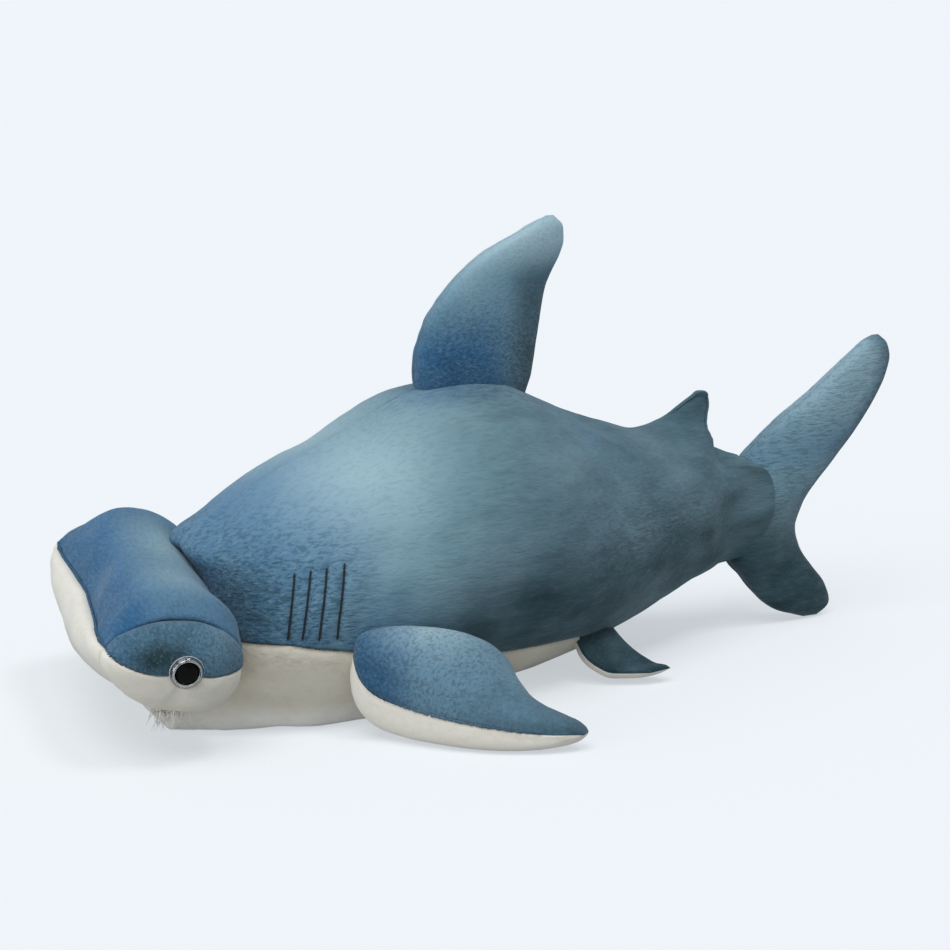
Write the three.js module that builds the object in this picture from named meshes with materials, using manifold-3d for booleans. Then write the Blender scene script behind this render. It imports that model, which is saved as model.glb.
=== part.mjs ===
// A plush hammerhead shark, about 0.65 m long, lying on its belly.
// Millimetres. +Z is up, the head points along -Y, and the shark's left side is +X.
// Fabric skins are thin shells round solid fibre fillings, so every panel is its own closed piece.

import * as THREE from 'three';
import { mergeVertices } from 'three/addons/utils/BufferGeometryUtils.js';
import Module from 'manifold-3d';

const wasm = await Module();
wasm.setup();

// ---------------------------------------------------------------- driving dimensions

const GAP = 0.3;                  // between pieces that touch
const SKIN = 3;                   // plush and its backing
const FIN_SKIN = 2.4;             // the same plush, stretched over the fins
const FILL_GAP = 1.5;             // between a fin's fabric and its filling
const BODY_FILL_GAP = 4.5;        // between the larger panels and their fillings
const ORIGIN_SHIFT = -18.3;       // puts the origin under the middle of the whole shark

const EYE_RIM_RADIUS = 11;
const EYE_PUPIL_RADIUS = 8.2;
const EYE_HEIGHT = 6.5;
const EYE_POST_RADIUS = 2.2;
const EYE_POST_LENGTH = 16;
const WASHER_RADIUS = 8;
const WASHER_THICKNESS = 1.6;

const THREAD_RADIUS = 0.9;
const GILL_COUNT = 4;

const HEAD_CENTRE = new THREE.Vector3(0, -250, 90);
const HEAD_TURN = -7.5;           // degrees, the head looks a little to its right
const HEAD_TILT = 5;              // degrees, its left end hangs a little lower

// ---------------------------------------------------------------- colours

const BLUE = { color: 0x5c8296, roughness: 0.9, metalness: 0 };
const CREAM = { color: 0xd8d6cd, roughness: 0.9, metalness: 0 };
const FILLING = { color: 0xf2f2ee, roughness: 1, metalness: 0 };
const THREAD = { color: 0x14181c, roughness: 0.7, metalness: 0 };
const CLEAR = { color: 0xe4ecec, roughness: 0.05, metalness: 0, transparent: true, opacity: 0.35 };
const BLACK = { color: 0x050505, roughness: 0.2, metalness: 0 };
const WASHER = { color: 0xe8e8e4, roughness: 0.5, metalness: 0 };

const shark = new THREE.Group();
shark.position.y = ORIGIN_SHIFT;

function addMesh(parent, name, geometry, look) {
  geometry.computeVertexNormals();
  const mesh = new THREE.Mesh(geometry, new THREE.MeshStandardMaterial(look));
  mesh.name = name;
  parent.add(mesh);
  return mesh;
}

// ---------------------------------------------------------------- curves and closed surfaces

/** A smooth function of one variable through [position, value] pairs, level beyond its ends. */
function profile(pairs) {
  const slopes = pairs.map((pair, i) => {
    if (i === 0 || i === pairs.length - 1) return 0;
    const before = (pair[1] - pairs[i - 1][1]) / (pair[0] - pairs[i - 1][0]);
    const after = (pairs[i + 1][1] - pair[1]) / (pairs[i + 1][0] - pair[0]);
    return before * after <= 0 ? 0 : (2 * before * after) / (before + after);
  });
  slopes[0] = (pairs[1][1] - pairs[0][1]) / (pairs[1][0] - pairs[0][0]);
  const last = pairs.length - 1;
  slopes[last] = (pairs[last][1] - pairs[last - 1][1]) / (pairs[last][0] - pairs[last - 1][0]);
  return (position) => {
    if (position <= pairs[0][0]) return pairs[0][1];
    if (position >= pairs[last][0]) return pairs[last][1];
    const i = pairs.findIndex((pair) => pair[0] > position) - 1;
    const width = pairs[i + 1][0] - pairs[i][0];
    const t = (position - pairs[i][0]) / width;
    const a = 2 * t ** 3 - 3 * t ** 2 + 1;
    const b = (t ** 3 - 2 * t ** 2 + t) * width;
    const c = -2 * t ** 3 + 3 * t ** 2;
    const d = (t ** 3 - t ** 2) * width;
    return a * pairs[i][1] + b * slopes[i] + c * pairs[i + 1][1] + d * slopes[i + 1];
  };
}

/** `count` + 1 evenly spaced numbers from `from` to `to`. */
function spread(from, to, count) {
  return Array.from({ length: count + 1 }, (_, i) => from + ((to - from) * i) / count);
}

/** A BufferGeometry of triangles, turned so that its faces point outwards. */
function closedGeometry(points, triangles) {
  let volume = 0;
  for (const [a, b, c] of triangles) {
    volume += points[a].dot(new THREE.Vector3().crossVectors(points[b], points[c]));
  }
  const faces = volume < 0 ? triangles.map(([a, b, c]) => [a, c, b]) : triangles;
  const geometry = new THREE.BufferGeometry();
  const flat = points.flatMap((point) => [point.x, point.y, point.z]);
  geometry.setAttribute('position', new THREE.Float32BufferAttribute(flat, 3));
  geometry.setIndex(faces.flat());
  return geometry;
}

/** A solid through closed rings of points, with a fan over each end. */
function loft(rings) {
  const around = rings[0].length;
  const points = rings.flat();
  const triangles = [];
  for (let i = 0; i < rings.length - 1; i += 1) {
    for (let j = 0; j < around; j += 1) {
      const a = i * around + j;
      const b = i * around + ((j + 1) % around);
      triangles.push([a, b, b + around], [a, b + around, a + around]);
    }
  }
  for (const end of [0, rings.length - 1]) {
    const hub = new THREE.Vector3();
    rings[end].forEach((point) => hub.addScaledVector(point, 1 / around));
    points.push(hub);
    for (let j = 0; j < around; j += 1) {
      const pair = [end * around + j, end * around + ((j + 1) % around)];
      if (end === 0) pair.reverse();
      triangles.push([...pair, points.length - 1]);
    }
  }
  return closedGeometry(points, triangles);
}

/** A thin panel between an outer and an inner grid of points, closed along its four edges. */
function panel(outer, inner) {
  const rows = outer.length;
  const columns = outer[0].length;
  const points = [...outer.flat(), ...inner.flat()];
  const lower = rows * columns;
  const at = (i, j, layer) => i * columns + j + layer * lower;
  const triangles = [];
  const quad = (a, b, c, d) => triangles.push([a, b, c], [a, c, d]);
  for (let i = 0; i < rows - 1; i += 1) {
    for (let j = 0; j < columns - 1; j += 1) {
      quad(at(i, j, 0), at(i, j + 1, 0), at(i + 1, j + 1, 0), at(i + 1, j, 0));
      quad(at(i, j, 1), at(i + 1, j, 1), at(i + 1, j + 1, 1), at(i, j + 1, 1));
    }
    quad(at(i, 0, 0), at(i + 1, 0, 0), at(i + 1, 0, 1), at(i, 0, 1));
    const edge = columns - 1;
    quad(at(i, edge, 0), at(i, edge, 1), at(i + 1, edge, 1), at(i + 1, edge, 0));
  }
  for (let j = 0; j < columns - 1; j += 1) {
    quad(at(0, j, 0), at(0, j, 1), at(0, j + 1, 1), at(0, j + 1, 0));
    quad(at(rows - 1, j, 0), at(rows - 1, j + 1, 0), at(rows - 1, j + 1, 1), at(rows - 1, j, 1));
  }
  return closedGeometry(points, triangles);
}

/** A panel of a surface(u, v, depth), between its outside and `thickness` below it. */
function surfacePanel(surface, rows, columnsAt, thickness) {
  const grid = (depth) => rows.map((u) => columnsAt(u).map((v) => surface(u, v, depth)));
  return panel(grid(0), grid(thickness));
}

/** Mirrors a geometry from the shark's left to its right. */
function mirrored(geometry) {
  const copy = geometry.clone();
  copy.scale(-1, 1, 1);
  const index = copy.getIndex();
  for (let i = 0; i < index.count; i += 3) {
    const second = index.getX(i + 1);
    index.setX(i + 1, index.getX(i + 2));
    index.setX(i + 2, second);
  }
  return copy;
}

/** The same surface with its shared vertices merged, and nothing kept but their positions. */
function weld(geometry) {
  const bare = geometry.clone();
  bare.deleteAttribute('normal');
  bare.deleteAttribute('uv');
  return mergeVertices(bare, 1e-4);
}

/** Joins or cuts closed geometries: operation is 'add' or 'subtract'. */
function combine(operation, geometry, ...others) {
  const solid = (source) => {
    const merged = weld(source);
    return new wasm.Manifold(new wasm.Mesh({
      numProp: 3,
      vertProperties: new Float32Array(merged.attributes.position.array),
      triVerts: new Uint32Array(merged.getIndex().array),
    }));
  };
  const result = others.reduce((whole, other) => whole[operation](solid(other)), solid(geometry));
  const mesh = result.getMesh();
  const out = new THREE.BufferGeometry();
  out.setAttribute('position', new THREE.BufferAttribute(new Float32Array(mesh.vertProperties), 3));
  out.setIndex(new THREE.BufferAttribute(new Uint32Array(mesh.triVerts), 1));
  return out;
}

// ---------------------------------------------------------------- body

// Along the body: the back's height, the belly's (below the floor where it is flattened), half width.
const BODY_TOP = profile([
  [-228, 112], [-200, 134], [-150, 166], [-100, 188], [-46, 211], [-15, 214], [17, 210],
  [43, 199], [70, 186], [130, 163], [180, 145], [205, 136], [214, 129], [219, 118],
]);
const BODY_BOTTOM = profile([
  [-228, -14], [-200, -22], [-150, -24], [-100, -18], [-45, -8], [10, -3],
  [70, 10], [130, 31], [180, 49], [205, 57], [214, 64], [219, 75],
]);
const BODY_HALF = profile([
  [-228, 66], [-200, 82], [-150, 100], [-100, 107], [-45, 109], [10, 105],
  [70, 84], [130, 60], [180, 42], [205, 32], [214, 25], [219, 15],
]);
// The height of the seam between the blue side and the cream belly.
const BELLY_SEAM = profile([
  [-228, 66], [-150, 62], [-80, 46], [-20, 37], [45, 35], [75, 24], [98, 19],
]);
const BODY_FRONT = -228;
const BELLY_END = 96;
const BODY_END = 219;
const FRONT_LEAN = 0.38;          // the front face leans back under the head
const FRONT_DOME = 0.0036;        // and is rounded from side to side, so that the head can turn
const FRONT_REACH = 90;

/** A point of the body's surface: angle 0 is the back's ridge, and a quarter turn is its left side. */
function bodyPoint(y, angle, depth) {
  const top = BODY_TOP(y) - depth;
  const bottom = BODY_BOTTOM(y) + depth;
  const half = BODY_HALF(y) - depth;
  const z = Math.max((top + bottom) / 2 + ((top - bottom) / 2) * Math.cos(angle), depth);
  const x = half * Math.sin(angle);
  const front = Math.max(0, 1 - (y - BODY_FRONT) / FRONT_REACH) ** 1.5;
  const slant = front * (FRONT_LEAN * z + FRONT_DOME * x * x);
  return new THREE.Vector3(x, y + slant, z);
}

/** The angle at which the body's surface is at a height. */
function bodyAngle(y, height) {
  const middle = (BODY_TOP(y) + BODY_BOTTOM(y)) / 2;
  const reach = (BODY_TOP(y) - BODY_BOTTOM(y)) / 2;
  return Math.acos(THREE.MathUtils.clamp((height - middle) / reach, -0.995, 0.995));
}

const SIDE_ROWS = [-228, -216, -200, -175, -150, -125, -100, -72, -45, -18, 10, 40, 70, 96,
  114, 130, 155, 180, 205, 214, 218];

function sideColumns(y) {
  const seamGap = GAP / BODY_HALF(y);
  const last = y < BELLY_END + 1 ? bodyAngle(y, BELLY_SEAM(y)) : Math.PI;
  return spread(GAP / 2 / BODY_HALF(y), last - seamGap, 11);
}

// The second dorsal fin is cut in one with the two side panels: outline as [y, z], half thickness.
const SECOND_DORSAL = [
  [122, 164.5], [144, 167], [159, 174], [174, 182], [184, 188], [193, 186], [193, 176],
  [188, 163], [196, 150], [208, 137], [196, 137.5], [170, 146.5], [146, 156],
];
const SECOND_DORSAL_HALF = 7;

function secondDorsalHalf() {
  const middle = new THREE.Vector2(170, 164);
  const ring = (x, inset) => SECOND_DORSAL.map(([y, z]) => {
    const point = new THREE.Vector2(y, z);
    const pull = z > 158 ? inset : 0;
    point.lerp(middle, pull / Math.max(point.distanceTo(middle), pull + 1));
    return new THREE.Vector3(x, point.x, point.y);
  });
  return loft([ring(GAP / 2, 0), ring(SECOND_DORSAL_HALF * 0.7, 2), ring(SECOND_DORSAL_HALF, 6)]);
}

const bodySide = surfacePanel(bodyPoint, SIDE_ROWS, sideColumns, SKIN);
const bodySideWithFin = combine('add', bodySide, secondDorsalHalf());
addMesh(shark, 'body_panel_left', bodySideWithFin, BLUE);
addMesh(shark, 'body_panel_right', mirrored(bodySideWithFin), BLUE);

const BELLY_ROWS = SIDE_ROWS.filter((y) => y <= BELLY_END);

function bellyColumns(y) {
  const edge = bodyAngle(y, BELLY_SEAM(y));
  return spread(edge, 2 * Math.PI - edge, 10);
}
addMesh(shark, 'belly_panel', surfacePanel(bodyPoint, BELLY_ROWS, bellyColumns, SKIN), CREAM);

const BODY_FILL_ROWS = SIDE_ROWS.slice(0, -2).map((y, i) => (i === 0 ? y + 4 : y));
const bodyRing = (y) => spread(0, 2 * Math.PI, 20).slice(0, -1)
  .map((angle) => bodyPoint(y, angle, SKIN + BODY_FILL_GAP));
addMesh(shark, 'body_stuffing', loft(BODY_FILL_ROWS.map(bodyRing)), FILLING);

// ---------------------------------------------------------------- gill stitches

// Each gill is a black thread lying down the side: its y at the top and its lean.
const GILL_TOP_Y = -166;
const GILL_STEP = 11.5;
const GILL_HEIGHTS = spread(108, 66, 5);

function gillStitch(number) {
  const points = GILL_HEIGHTS.map((height, i) => {
    const bow = 3 * Math.sin((Math.PI * i) / 5);
    const y = GILL_TOP_Y + number * GILL_STEP - i * 0.8 + bow;
    return bodyPoint(y, bodyAngle(y, height), -(THREAD_RADIUS + GAP));
  });
  const section = new THREE.Shape();
  section.absarc(0, 0, THREAD_RADIUS, 0, 2 * Math.PI);
  return new THREE.ExtrudeGeometry(section, {
    steps: 6,
    curveSegments: 3,
    bevelEnabled: false,
    extrudePath: new THREE.CatmullRomCurve3(points),
  });
}

for (let number = 0; number < GILL_COUNT; number += 1) {
  const thread = weld(gillStitch(number));
  addMesh(shark, `gill_stitch_left_${number + 1}`, thread, THREAD);
  addMesh(shark, `gill_stitch_right_${number + 1}`, mirrored(thread), THREAD);
}

// ---------------------------------------------------------------- head

// From the middle of the hammer outwards: its front, back, top and underside.
const HEAD_FRONT = profile([
  [0, -58], [45, -57], [80, -51], [97, -45], [109, -36], [117, -23], [121, -8],
]);
const HEAD_BACK = profile([
  [0, 45], [45, 46], [80, 50], [97, 51], [109, 45], [117, 33], [121, 18],
]);
const HEAD_TOP = profile([
  [0, 33], [45, 33], [80, 29], [97, 18], [109, 5], [117, -6], [121, -13],
]);
const HEAD_UNDER = profile([
  [0, -56], [45, -56], [80, -56], [97, -52], [109, -44], [117, -35], [121, -26],
]);
const HEAD_CAP = 96;              // where the end caps are sewn on
const HEAD_END = 121;

/** A point of the hammer: angle 0 is its top, a quarter turn its front, half a turn its underside. */
function headPoint(x, angle, depth) {
  const away = Math.min(Math.abs(x), HEAD_END);
  const front = HEAD_FRONT(away) + depth;
  const back = HEAD_BACK(away) - depth;
  const top = HEAD_TOP(away) - depth;
  const under = HEAD_UNDER(away) + depth;
  const across = -Math.sin(angle);
  const along = Math.cos(angle);
  const y = (front + back) / 2 + ((back - front) / 2) * Math.sign(across) * Math.abs(across) ** 0.92;
  const z = (top + under) / 2 + ((top - under) / 2) * Math.sign(along) * Math.abs(along) ** 0.92;
  return new THREE.Vector3(x, y, z);
}

const HEAD_FRONT_SEAM = 1.36;     // angle of the front seam between blue and cream, radians
const HEAD_BACK_SEAM = 2 * Math.PI - 1.85;
const head = new THREE.Group();
head.position.copy(HEAD_CENTRE);
head.rotation.set(0, THREE.MathUtils.degToRad(HEAD_TILT), THREE.MathUtils.degToRad(HEAD_TURN), 'ZYX');
shark.add(head);

const headRows = spread(-HEAD_CAP + GAP, HEAD_CAP - GAP, 10);
const topColumns = () => spread(HEAD_BACK_SEAM - 2 * Math.PI + 0.006, HEAD_FRONT_SEAM - 0.006, 9);
const underColumns = () => spread(HEAD_FRONT_SEAM, HEAD_BACK_SEAM, 10);
addMesh(head, 'head_top_panel', surfacePanel(headPoint, headRows, topColumns, SKIN), BLUE);
addMesh(head, 'head_under_panel', surfacePanel(headPoint, headRows, underColumns, SKIN), CREAM);

// ---------------------------------------------------------------- eyes, in the hammer's end caps

const EYE_X = 118.2;
const EYE_Y = 4;
const EYE_Z = -17;

/** Turns a geometry made along +Z so that it points out of the hammer's left end, at the eye. */
function atEye(geometry) {
  const placed = geometry.clone();
  placed.rotateY(Math.PI / 2);
  placed.translate(EYE_X, EYE_Y, EYE_Z);
  return placed;
}

/** A round piece with a closed [radius, height] profile. */
function turned(pairs) {
  const lathe = new THREE.LatheGeometry(pairs.map(([r, z]) => new THREE.Vector2(r, z)), 20);
  lathe.rotateX(Math.PI / 2);
  const welded = weld(lathe);
  const positions = welded.attributes.position;
  const points = Array.from({ length: positions.count },
    (_, i) => new THREE.Vector3().fromBufferAttribute(positions, i));
  const index = Array.from(welded.getIndex().array);
  const triangles = [];
  for (let i = 0; i < index.length; i += 3) {
    const [a, b, c] = index.slice(i, i + 3);
    if (a !== b && b !== c && a !== c) triangles.push([a, b, c]);
  }
  return closedGeometry(points, triangles);
}

const EYE_SEAT = 4.6;             // from EYE_X out to the back of the clear dome
const domeOutside = spread(0, Math.PI / 2, 5)
  .map((t) => [EYE_RIM_RADIUS * Math.cos(t), EYE_SEAT + 1 + (EYE_HEIGHT - 1) * Math.sin(t)]);
domeOutside[5][0] = 0;
const eyeDome = turned([
  [0, EYE_SEAT + 3],
  [EYE_PUPIL_RADIUS + GAP, EYE_SEAT + 2.2],
  [EYE_PUPIL_RADIUS + GAP, EYE_SEAT],
  [EYE_RIM_RADIUS, EYE_SEAT],
  ...domeOutside,
]);
const eyePupil = turned([
  [0, EYE_SEAT - EYE_POST_LENGTH],
  [EYE_POST_RADIUS, EYE_SEAT - EYE_POST_LENGTH],
  [EYE_POST_RADIUS, EYE_SEAT],
  [EYE_PUPIL_RADIUS, EYE_SEAT],
  [EYE_PUPIL_RADIUS, EYE_SEAT + 1.8],
  [0, EYE_SEAT + 2.6],
]);
const WASHER_TOP = -4.4;
const eyeWasher = turned([
  [EYE_POST_RADIUS + GAP, WASHER_TOP - WASHER_THICKNESS],
  [WASHER_RADIUS, WASHER_TOP - WASHER_THICKNESS],
  [WASHER_RADIUS, WASHER_TOP],
  [EYE_POST_RADIUS + GAP, WASHER_TOP],
  [EYE_POST_RADIUS + GAP, WASHER_TOP - WASHER_THICKNESS],
]);
const postHole = new THREE.CylinderGeometry(EYE_POST_RADIUS + GAP, EYE_POST_RADIUS + GAP, 40, 16);
postHole.rotateX(Math.PI / 2);
const washerPocket = new THREE.CylinderGeometry(WASHER_RADIUS + 1, WASHER_RADIUS + 1, 28, 16);
washerPocket.rotateX(Math.PI / 2);

const eyePieces = { dome: [eyeDome, CLEAR], pupil: [eyePupil, BLACK], washer: [eyeWasher, WASHER] };
for (const [piece, [geometry, look]] of Object.entries(eyePieces)) {
  addMesh(head, `eye_${piece}_left`, atEye(geometry), look);
  addMesh(head, `eye_${piece}_right`, mirrored(atEye(geometry)), look);
}

// ---------------------------------------------------------------- end caps and head filling

const CAP_ROWS = [HEAD_CAP, 103, 109, 114, 118, HEAD_END];
const CAP_TILT = 0.012;

/** A cap's surface; its last row closes in to a flat patch that the eye sits on. */
function capPoint(x, angle, depth) {
  const point = headPoint(x, angle, depth * 0.9);
  point.x -= depth * ((x - HEAD_CAP) / (HEAD_END - HEAD_CAP)) ** 0.7;
  return point;
}

/** Half of a cap, as a solid shell: from one seam angle to the other, closed over the end. */
function capHalf(from, to) {
  const columns = () => spread(from + CAP_TILT, to - CAP_TILT, 7);
  const side = (depth) => CAP_ROWS.map((x) => columns().map((angle) => capPoint(x, angle, depth)));
  const withTip = (grid, depth) => {
    const row = grid[grid.length - 1];
    const middle = new THREE.Vector3().addVectors(row[0], row[row.length - 1]).multiplyScalar(0.5);
    middle.x = HEAD_END + 0.8 - depth;
    return [...grid, row.map((point) => middle.clone().lerp(point, 0.04))];
  };
  return panel(withTip(side(0), 0), withTip(side(SKIN), SKIN));
}

const upperHalf = capHalf(HEAD_BACK_SEAM - 2 * Math.PI, HEAD_FRONT_SEAM);
const lowerHalf = capHalf(HEAD_FRONT_SEAM, HEAD_BACK_SEAM);
const capUpper = combine('subtract', upperHalf, atEye(postHole));
const capLower = combine('subtract', lowerHalf, atEye(postHole));
addMesh(head, 'head_end_upper_left', capUpper, BLUE);
addMesh(head, 'head_end_upper_right', mirrored(capUpper), BLUE);
addMesh(head, 'head_end_lower_left', capLower, CREAM);
addMesh(head, 'head_end_lower_right', mirrored(capLower), CREAM);

const HEAD_FILL_ROWS = [-110, -104, -95, -80, -54, -27, 0, 27, 54, 80, 95, 104, 110];
const headRing = (x) => spread(0, 2 * Math.PI, 18).slice(0, -1)
  .map((angle) => headPoint(x, angle, SKIN + BODY_FILL_GAP));
const headFilling = combine('subtract', loft(HEAD_FILL_ROWS.map(headRing)),
  atEye(washerPocket), mirrored(atEye(washerPocket)));
addMesh(head, 'head_stuffing', headFilling, FILLING);

// ---------------------------------------------------------------- stuffed fins

/**
 * A stuffed fin: two sewn panels round a filling. `span` runs from its root to its tip, and at each
 * span `section` gives its leading and trailing points, its half thickness (and the other half's,
 * where it is less), the direction of that thickness, and how far the chord is crowned upwards.
 */
function finPoint(fin, t, angle, depth) {
  const { lead, trail, half, low = half, side, crown = 0 } = fin.section(t);
  const chord = new THREE.Vector3().subVectors(trail, lead);
  const length = chord.length();
  chord.normalize();
  const reach = Math.max(length / 2 - depth, 0.5);
  const thick = Math.max((Math.sin(angle) < 0 ? low : half) - depth, 0.4);
  const along = Math.cos(angle);
  const across = Math.sin(angle);
  const middle = new THREE.Vector3().addVectors(lead, trail).multiplyScalar(0.5);
  // The section is fuller towards its leading edge.
  const taper = 1 - fin.taper * (along + 1) / 2;
  middle.addScaledVector(chord, reach * along);
  middle.z += crown * (1 - along * along);
  return middle.addScaledVector(side, thick * taper * Math.sign(across) * Math.abs(across) ** 0.85);
}

/** The near panel (angle 0 to pi, towards the side direction), the far panel and the filling. */
function finPieces(fin) {
  const surface = (t, angle, depth) => finPoint(fin, t, angle, depth);
  const edge = 0.02;
  const near = surfacePanel(surface, fin.spans, () => spread(edge, Math.PI - edge, 7), FIN_SKIN);
  const far = surfacePanel(surface, fin.spans, () => spread(-edge, edge - Math.PI, 7), FIN_SKIN);
  const fillSpans = fin.spans.slice(0, -1);
  const ring = (t) => spread(0, 2 * Math.PI, 14).slice(0, -1)
    .map((angle) => finPoint(fin, t, angle, FIN_SKIN + FILL_GAP));
  return { near, far, filling: loft(fillSpans.map(ring)) };
}

function at(x, y, z) {
  return new THREE.Vector3(x, y, z);
}

// First dorsal fin: leading and trailing edges as y against height.
const DORSAL_LEAD = profile([
  [215, -43], [221, -46], [233, -46], [259, -37], [280, -20], [306, 12], [318, 38], [325, 52],
]);
const DORSAL_TRAIL = profile([
  [215, 38], [221, 42], [250, 48], [278, 53], [299, 63], [317, 67], [325, 62],
]);
const DORSAL_HALF = profile([
  [215, 6], [219, 11], [228, 15], [250, 15], [290, 12], [312, 8], [325, 3],
]);
const DORSAL_ROOT = 215;
const DORSAL_TIP = 325;
const DORSAL_SLOPE = 0.15;        // the base line falls towards the tail
const DORSAL_CROWN = 14;          // and is crowned as the back is

const dorsal = {
  taper: 0.35,
  spans: [DORSAL_ROOT, 217.5, 222, 232, 247, 265, 283, 300, 313, 321, DORSAL_TIP],
  section: (z) => {
    const level = Math.max(0, 1 - (z - DORSAL_ROOT) / 60);
    const point = (y) => at(0, y, z - level * DORSAL_SLOPE * (y + 46));
    return {
      lead: point(DORSAL_LEAD(z)),
      trail: point(DORSAL_TRAIL(z)),
      half: DORSAL_HALF(z),
      side: at(1, 0, 0),
      crown: level * DORSAL_CROWN,
    };
  },
};
const dorsalPieces = finPieces(dorsal);
addMesh(shark, 'dorsal_fin_panel_left', dorsalPieces.near, BLUE);
addMesh(shark, 'dorsal_fin_panel_right', dorsalPieces.far, BLUE);
addMesh(shark, 'dorsal_fin_stuffing', dorsalPieces.filling, FILLING);

// Pectoral fins: from the root at the body's side, out and down to the floor. The seam round the fin
// lies low, so that the blue upper side is domed and the cream underside is flatter.
const PECTORAL_LEAD_Y = profile([
  [104, -128], [110, -131], [122, -126], [140, -111], [160, -93], [178, -70], [190, -44], [195, -26],
]);
const PECTORAL_TRAIL_Y = profile([
  [104, -26], [110, -20], [125, -17], [150, -14], [175, -9], [190, -6], [195, -9],
]);
const PECTORAL_LEAD_Z = profile([
  [104, 46], [112, 40], [126, 31], [139, 26], [165, 19], [185, 12.5], [195, 9],
]);
const PECTORAL_TRAIL_Z = profile([
  [104, 33], [126, 26], [150, 19], [170, 14], [185, 11], [195, 9],
]);
const PECTORAL_UP = profile([
  [104, 24], [107, 37], [113, 43], [122, 43], [135, 38], [150, 29], [170, 17], [185, 8], [195, 3],
]);
const PECTORAL_DOWN = profile([
  [104, 17], [107, 26], [113, 31], [130, 27], [150, 19], [170, 13], [185, 8], [195, 3],
]);
const PECTORAL_ROOT = 104;
const PECTORAL_TIP = 195;

const pectoral = {
  taper: 0.4,
  spans: [PECTORAL_ROOT, 107, 112, 120, 132, 145, 158, 171, 183, 190, PECTORAL_TIP],
  section: (x) => ({
    lead: at(x, PECTORAL_LEAD_Y(x), PECTORAL_LEAD_Z(x)),
    trail: at(x, PECTORAL_TRAIL_Y(x), PECTORAL_TRAIL_Z(x)),
    half: PECTORAL_UP(x),
    low: PECTORAL_DOWN(x),
    side: at(0.12, 0, 1).normalize(),
  }),
};
const pectoralPieces = finPieces(pectoral);

// Pelvic fins: thin paddles of doubled plush with a little filling, hanging to the floor.
const PELVIC_LEAD_Y = profile([[60, 52], [66, 53], [80, 64], [92, 88]]);
const PELVIC_TRAIL_Y = profile([[60, 86], [66, 90], [80, 104], [92, 113]]);
const PELVIC_Z = profile([[60, 26], [66, 21], [80, 10], [92, 6]]);
const PELVIC_HALF = profile([[60, 3.2], [66, 4.4], [80, 3.8], [92, 2.4]]);
const PELVIC_ROOT = 60;
const PELVIC_TIP = 92;

const pelvic = {
  taper: 0.3,
  spans: spread(PELVIC_ROOT, PELVIC_TIP, 7),
  section: (x) => ({
    lead: at(x, PELVIC_LEAD_Y(x), PELVIC_Z(x)),
    trail: at(x, PELVIC_TRAIL_Y(x), PELVIC_Z(x)),
    half: PELVIC_HALF(x),
    side: at(0.5, 0, 0.87),
  }),
};

/** A thin fin's upper or lower layer. */
function thinLayer(fin, sign) {
  const angles = spread(0.12, Math.PI - 0.12, 6);
  const outer = fin.spans.map((t) => angles.map((angle) => finPoint(fin, t, sign * angle, 0)));
  const inner = fin.spans.map((t) => angles.map((angle) => {
    const { lead, trail, side } = fin.section(t);
    const middle = lead.clone().lerp(trail, (1 + Math.cos(angle)) / 2);
    return middle.addScaledVector(side, (sign * GAP) / 2);
  }));
  return panel(outer, inner);
}

const sides = { left: (geometry) => geometry, right: mirrored };
for (const [side, place] of Object.entries(sides)) {
  addMesh(shark, `pectoral_fin_top_${side}`, place(pectoralPieces.near), BLUE);
  addMesh(shark, `pectoral_fin_under_${side}`, place(pectoralPieces.far), CREAM);
  addMesh(shark, `pectoral_fin_stuffing_${side}`, place(pectoralPieces.filling), FILLING);
  addMesh(shark, `pelvic_fin_top_${side}`, place(thinLayer(pelvic, 1)), BLUE);
  addMesh(shark, `pelvic_fin_under_${side}`, place(thinLayer(pelvic, -1)), CREAM);
}

// Tail fin: from the lower lobe's tip on the floor to the upper lobe's tip.
const TAIL_LEAD = profile([
  [2, 276], [11, 252], [26, 234], [40, 226], [55, 223], [97, 222], [130, 223],
  [140, 229], [159, 252], [176, 278], [191, 298], [207, 318], [215, 333],
]);
const TAIL_TRAIL = profile([
  [2, 294], [11, 301], [26, 297], [40, 287], [58, 273], [75, 268], [93, 274],
  [125, 302], [145, 320], [169, 337], [187, 346], [207, 349], [215, 343],
]);
const TAIL_HALF = profile([
  [2, 3], [8, 8], [20, 11], [45, 15], [62, 19], [97, 22],
  [125, 19], [150, 14], [190, 11], [207, 8], [215, 3],
]);

const tail = {
  taper: 0.6,
  spans: [2, 6, 14, 26, 40, 55, 70, 85, 100, 115, 130, 145, 162, 180, 196, 208, 215],
  section: (z) => ({
    lead: at(0, TAIL_LEAD(z), z),
    trail: at(0, TAIL_TRAIL(z), z),
    half: TAIL_HALF(z),
    side: at(1, 0, 0),
  }),
};
const tailPieces = finPieces(tail);
addMesh(shark, 'tail_fin_panel_left', tailPieces.near, BLUE);
addMesh(shark, 'tail_fin_panel_right', tailPieces.far, BLUE);
addMesh(shark, 'tail_fin_stuffing', tailPieces.filling, FILLING);

export default shark;
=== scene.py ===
"""A plush hammerhead shark. Lengths are millimetres in the design frame unless a name says otherwise."""
import math

import bmesh
import bpy
import numpy as np
from mathutils import Matrix, Vector


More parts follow.
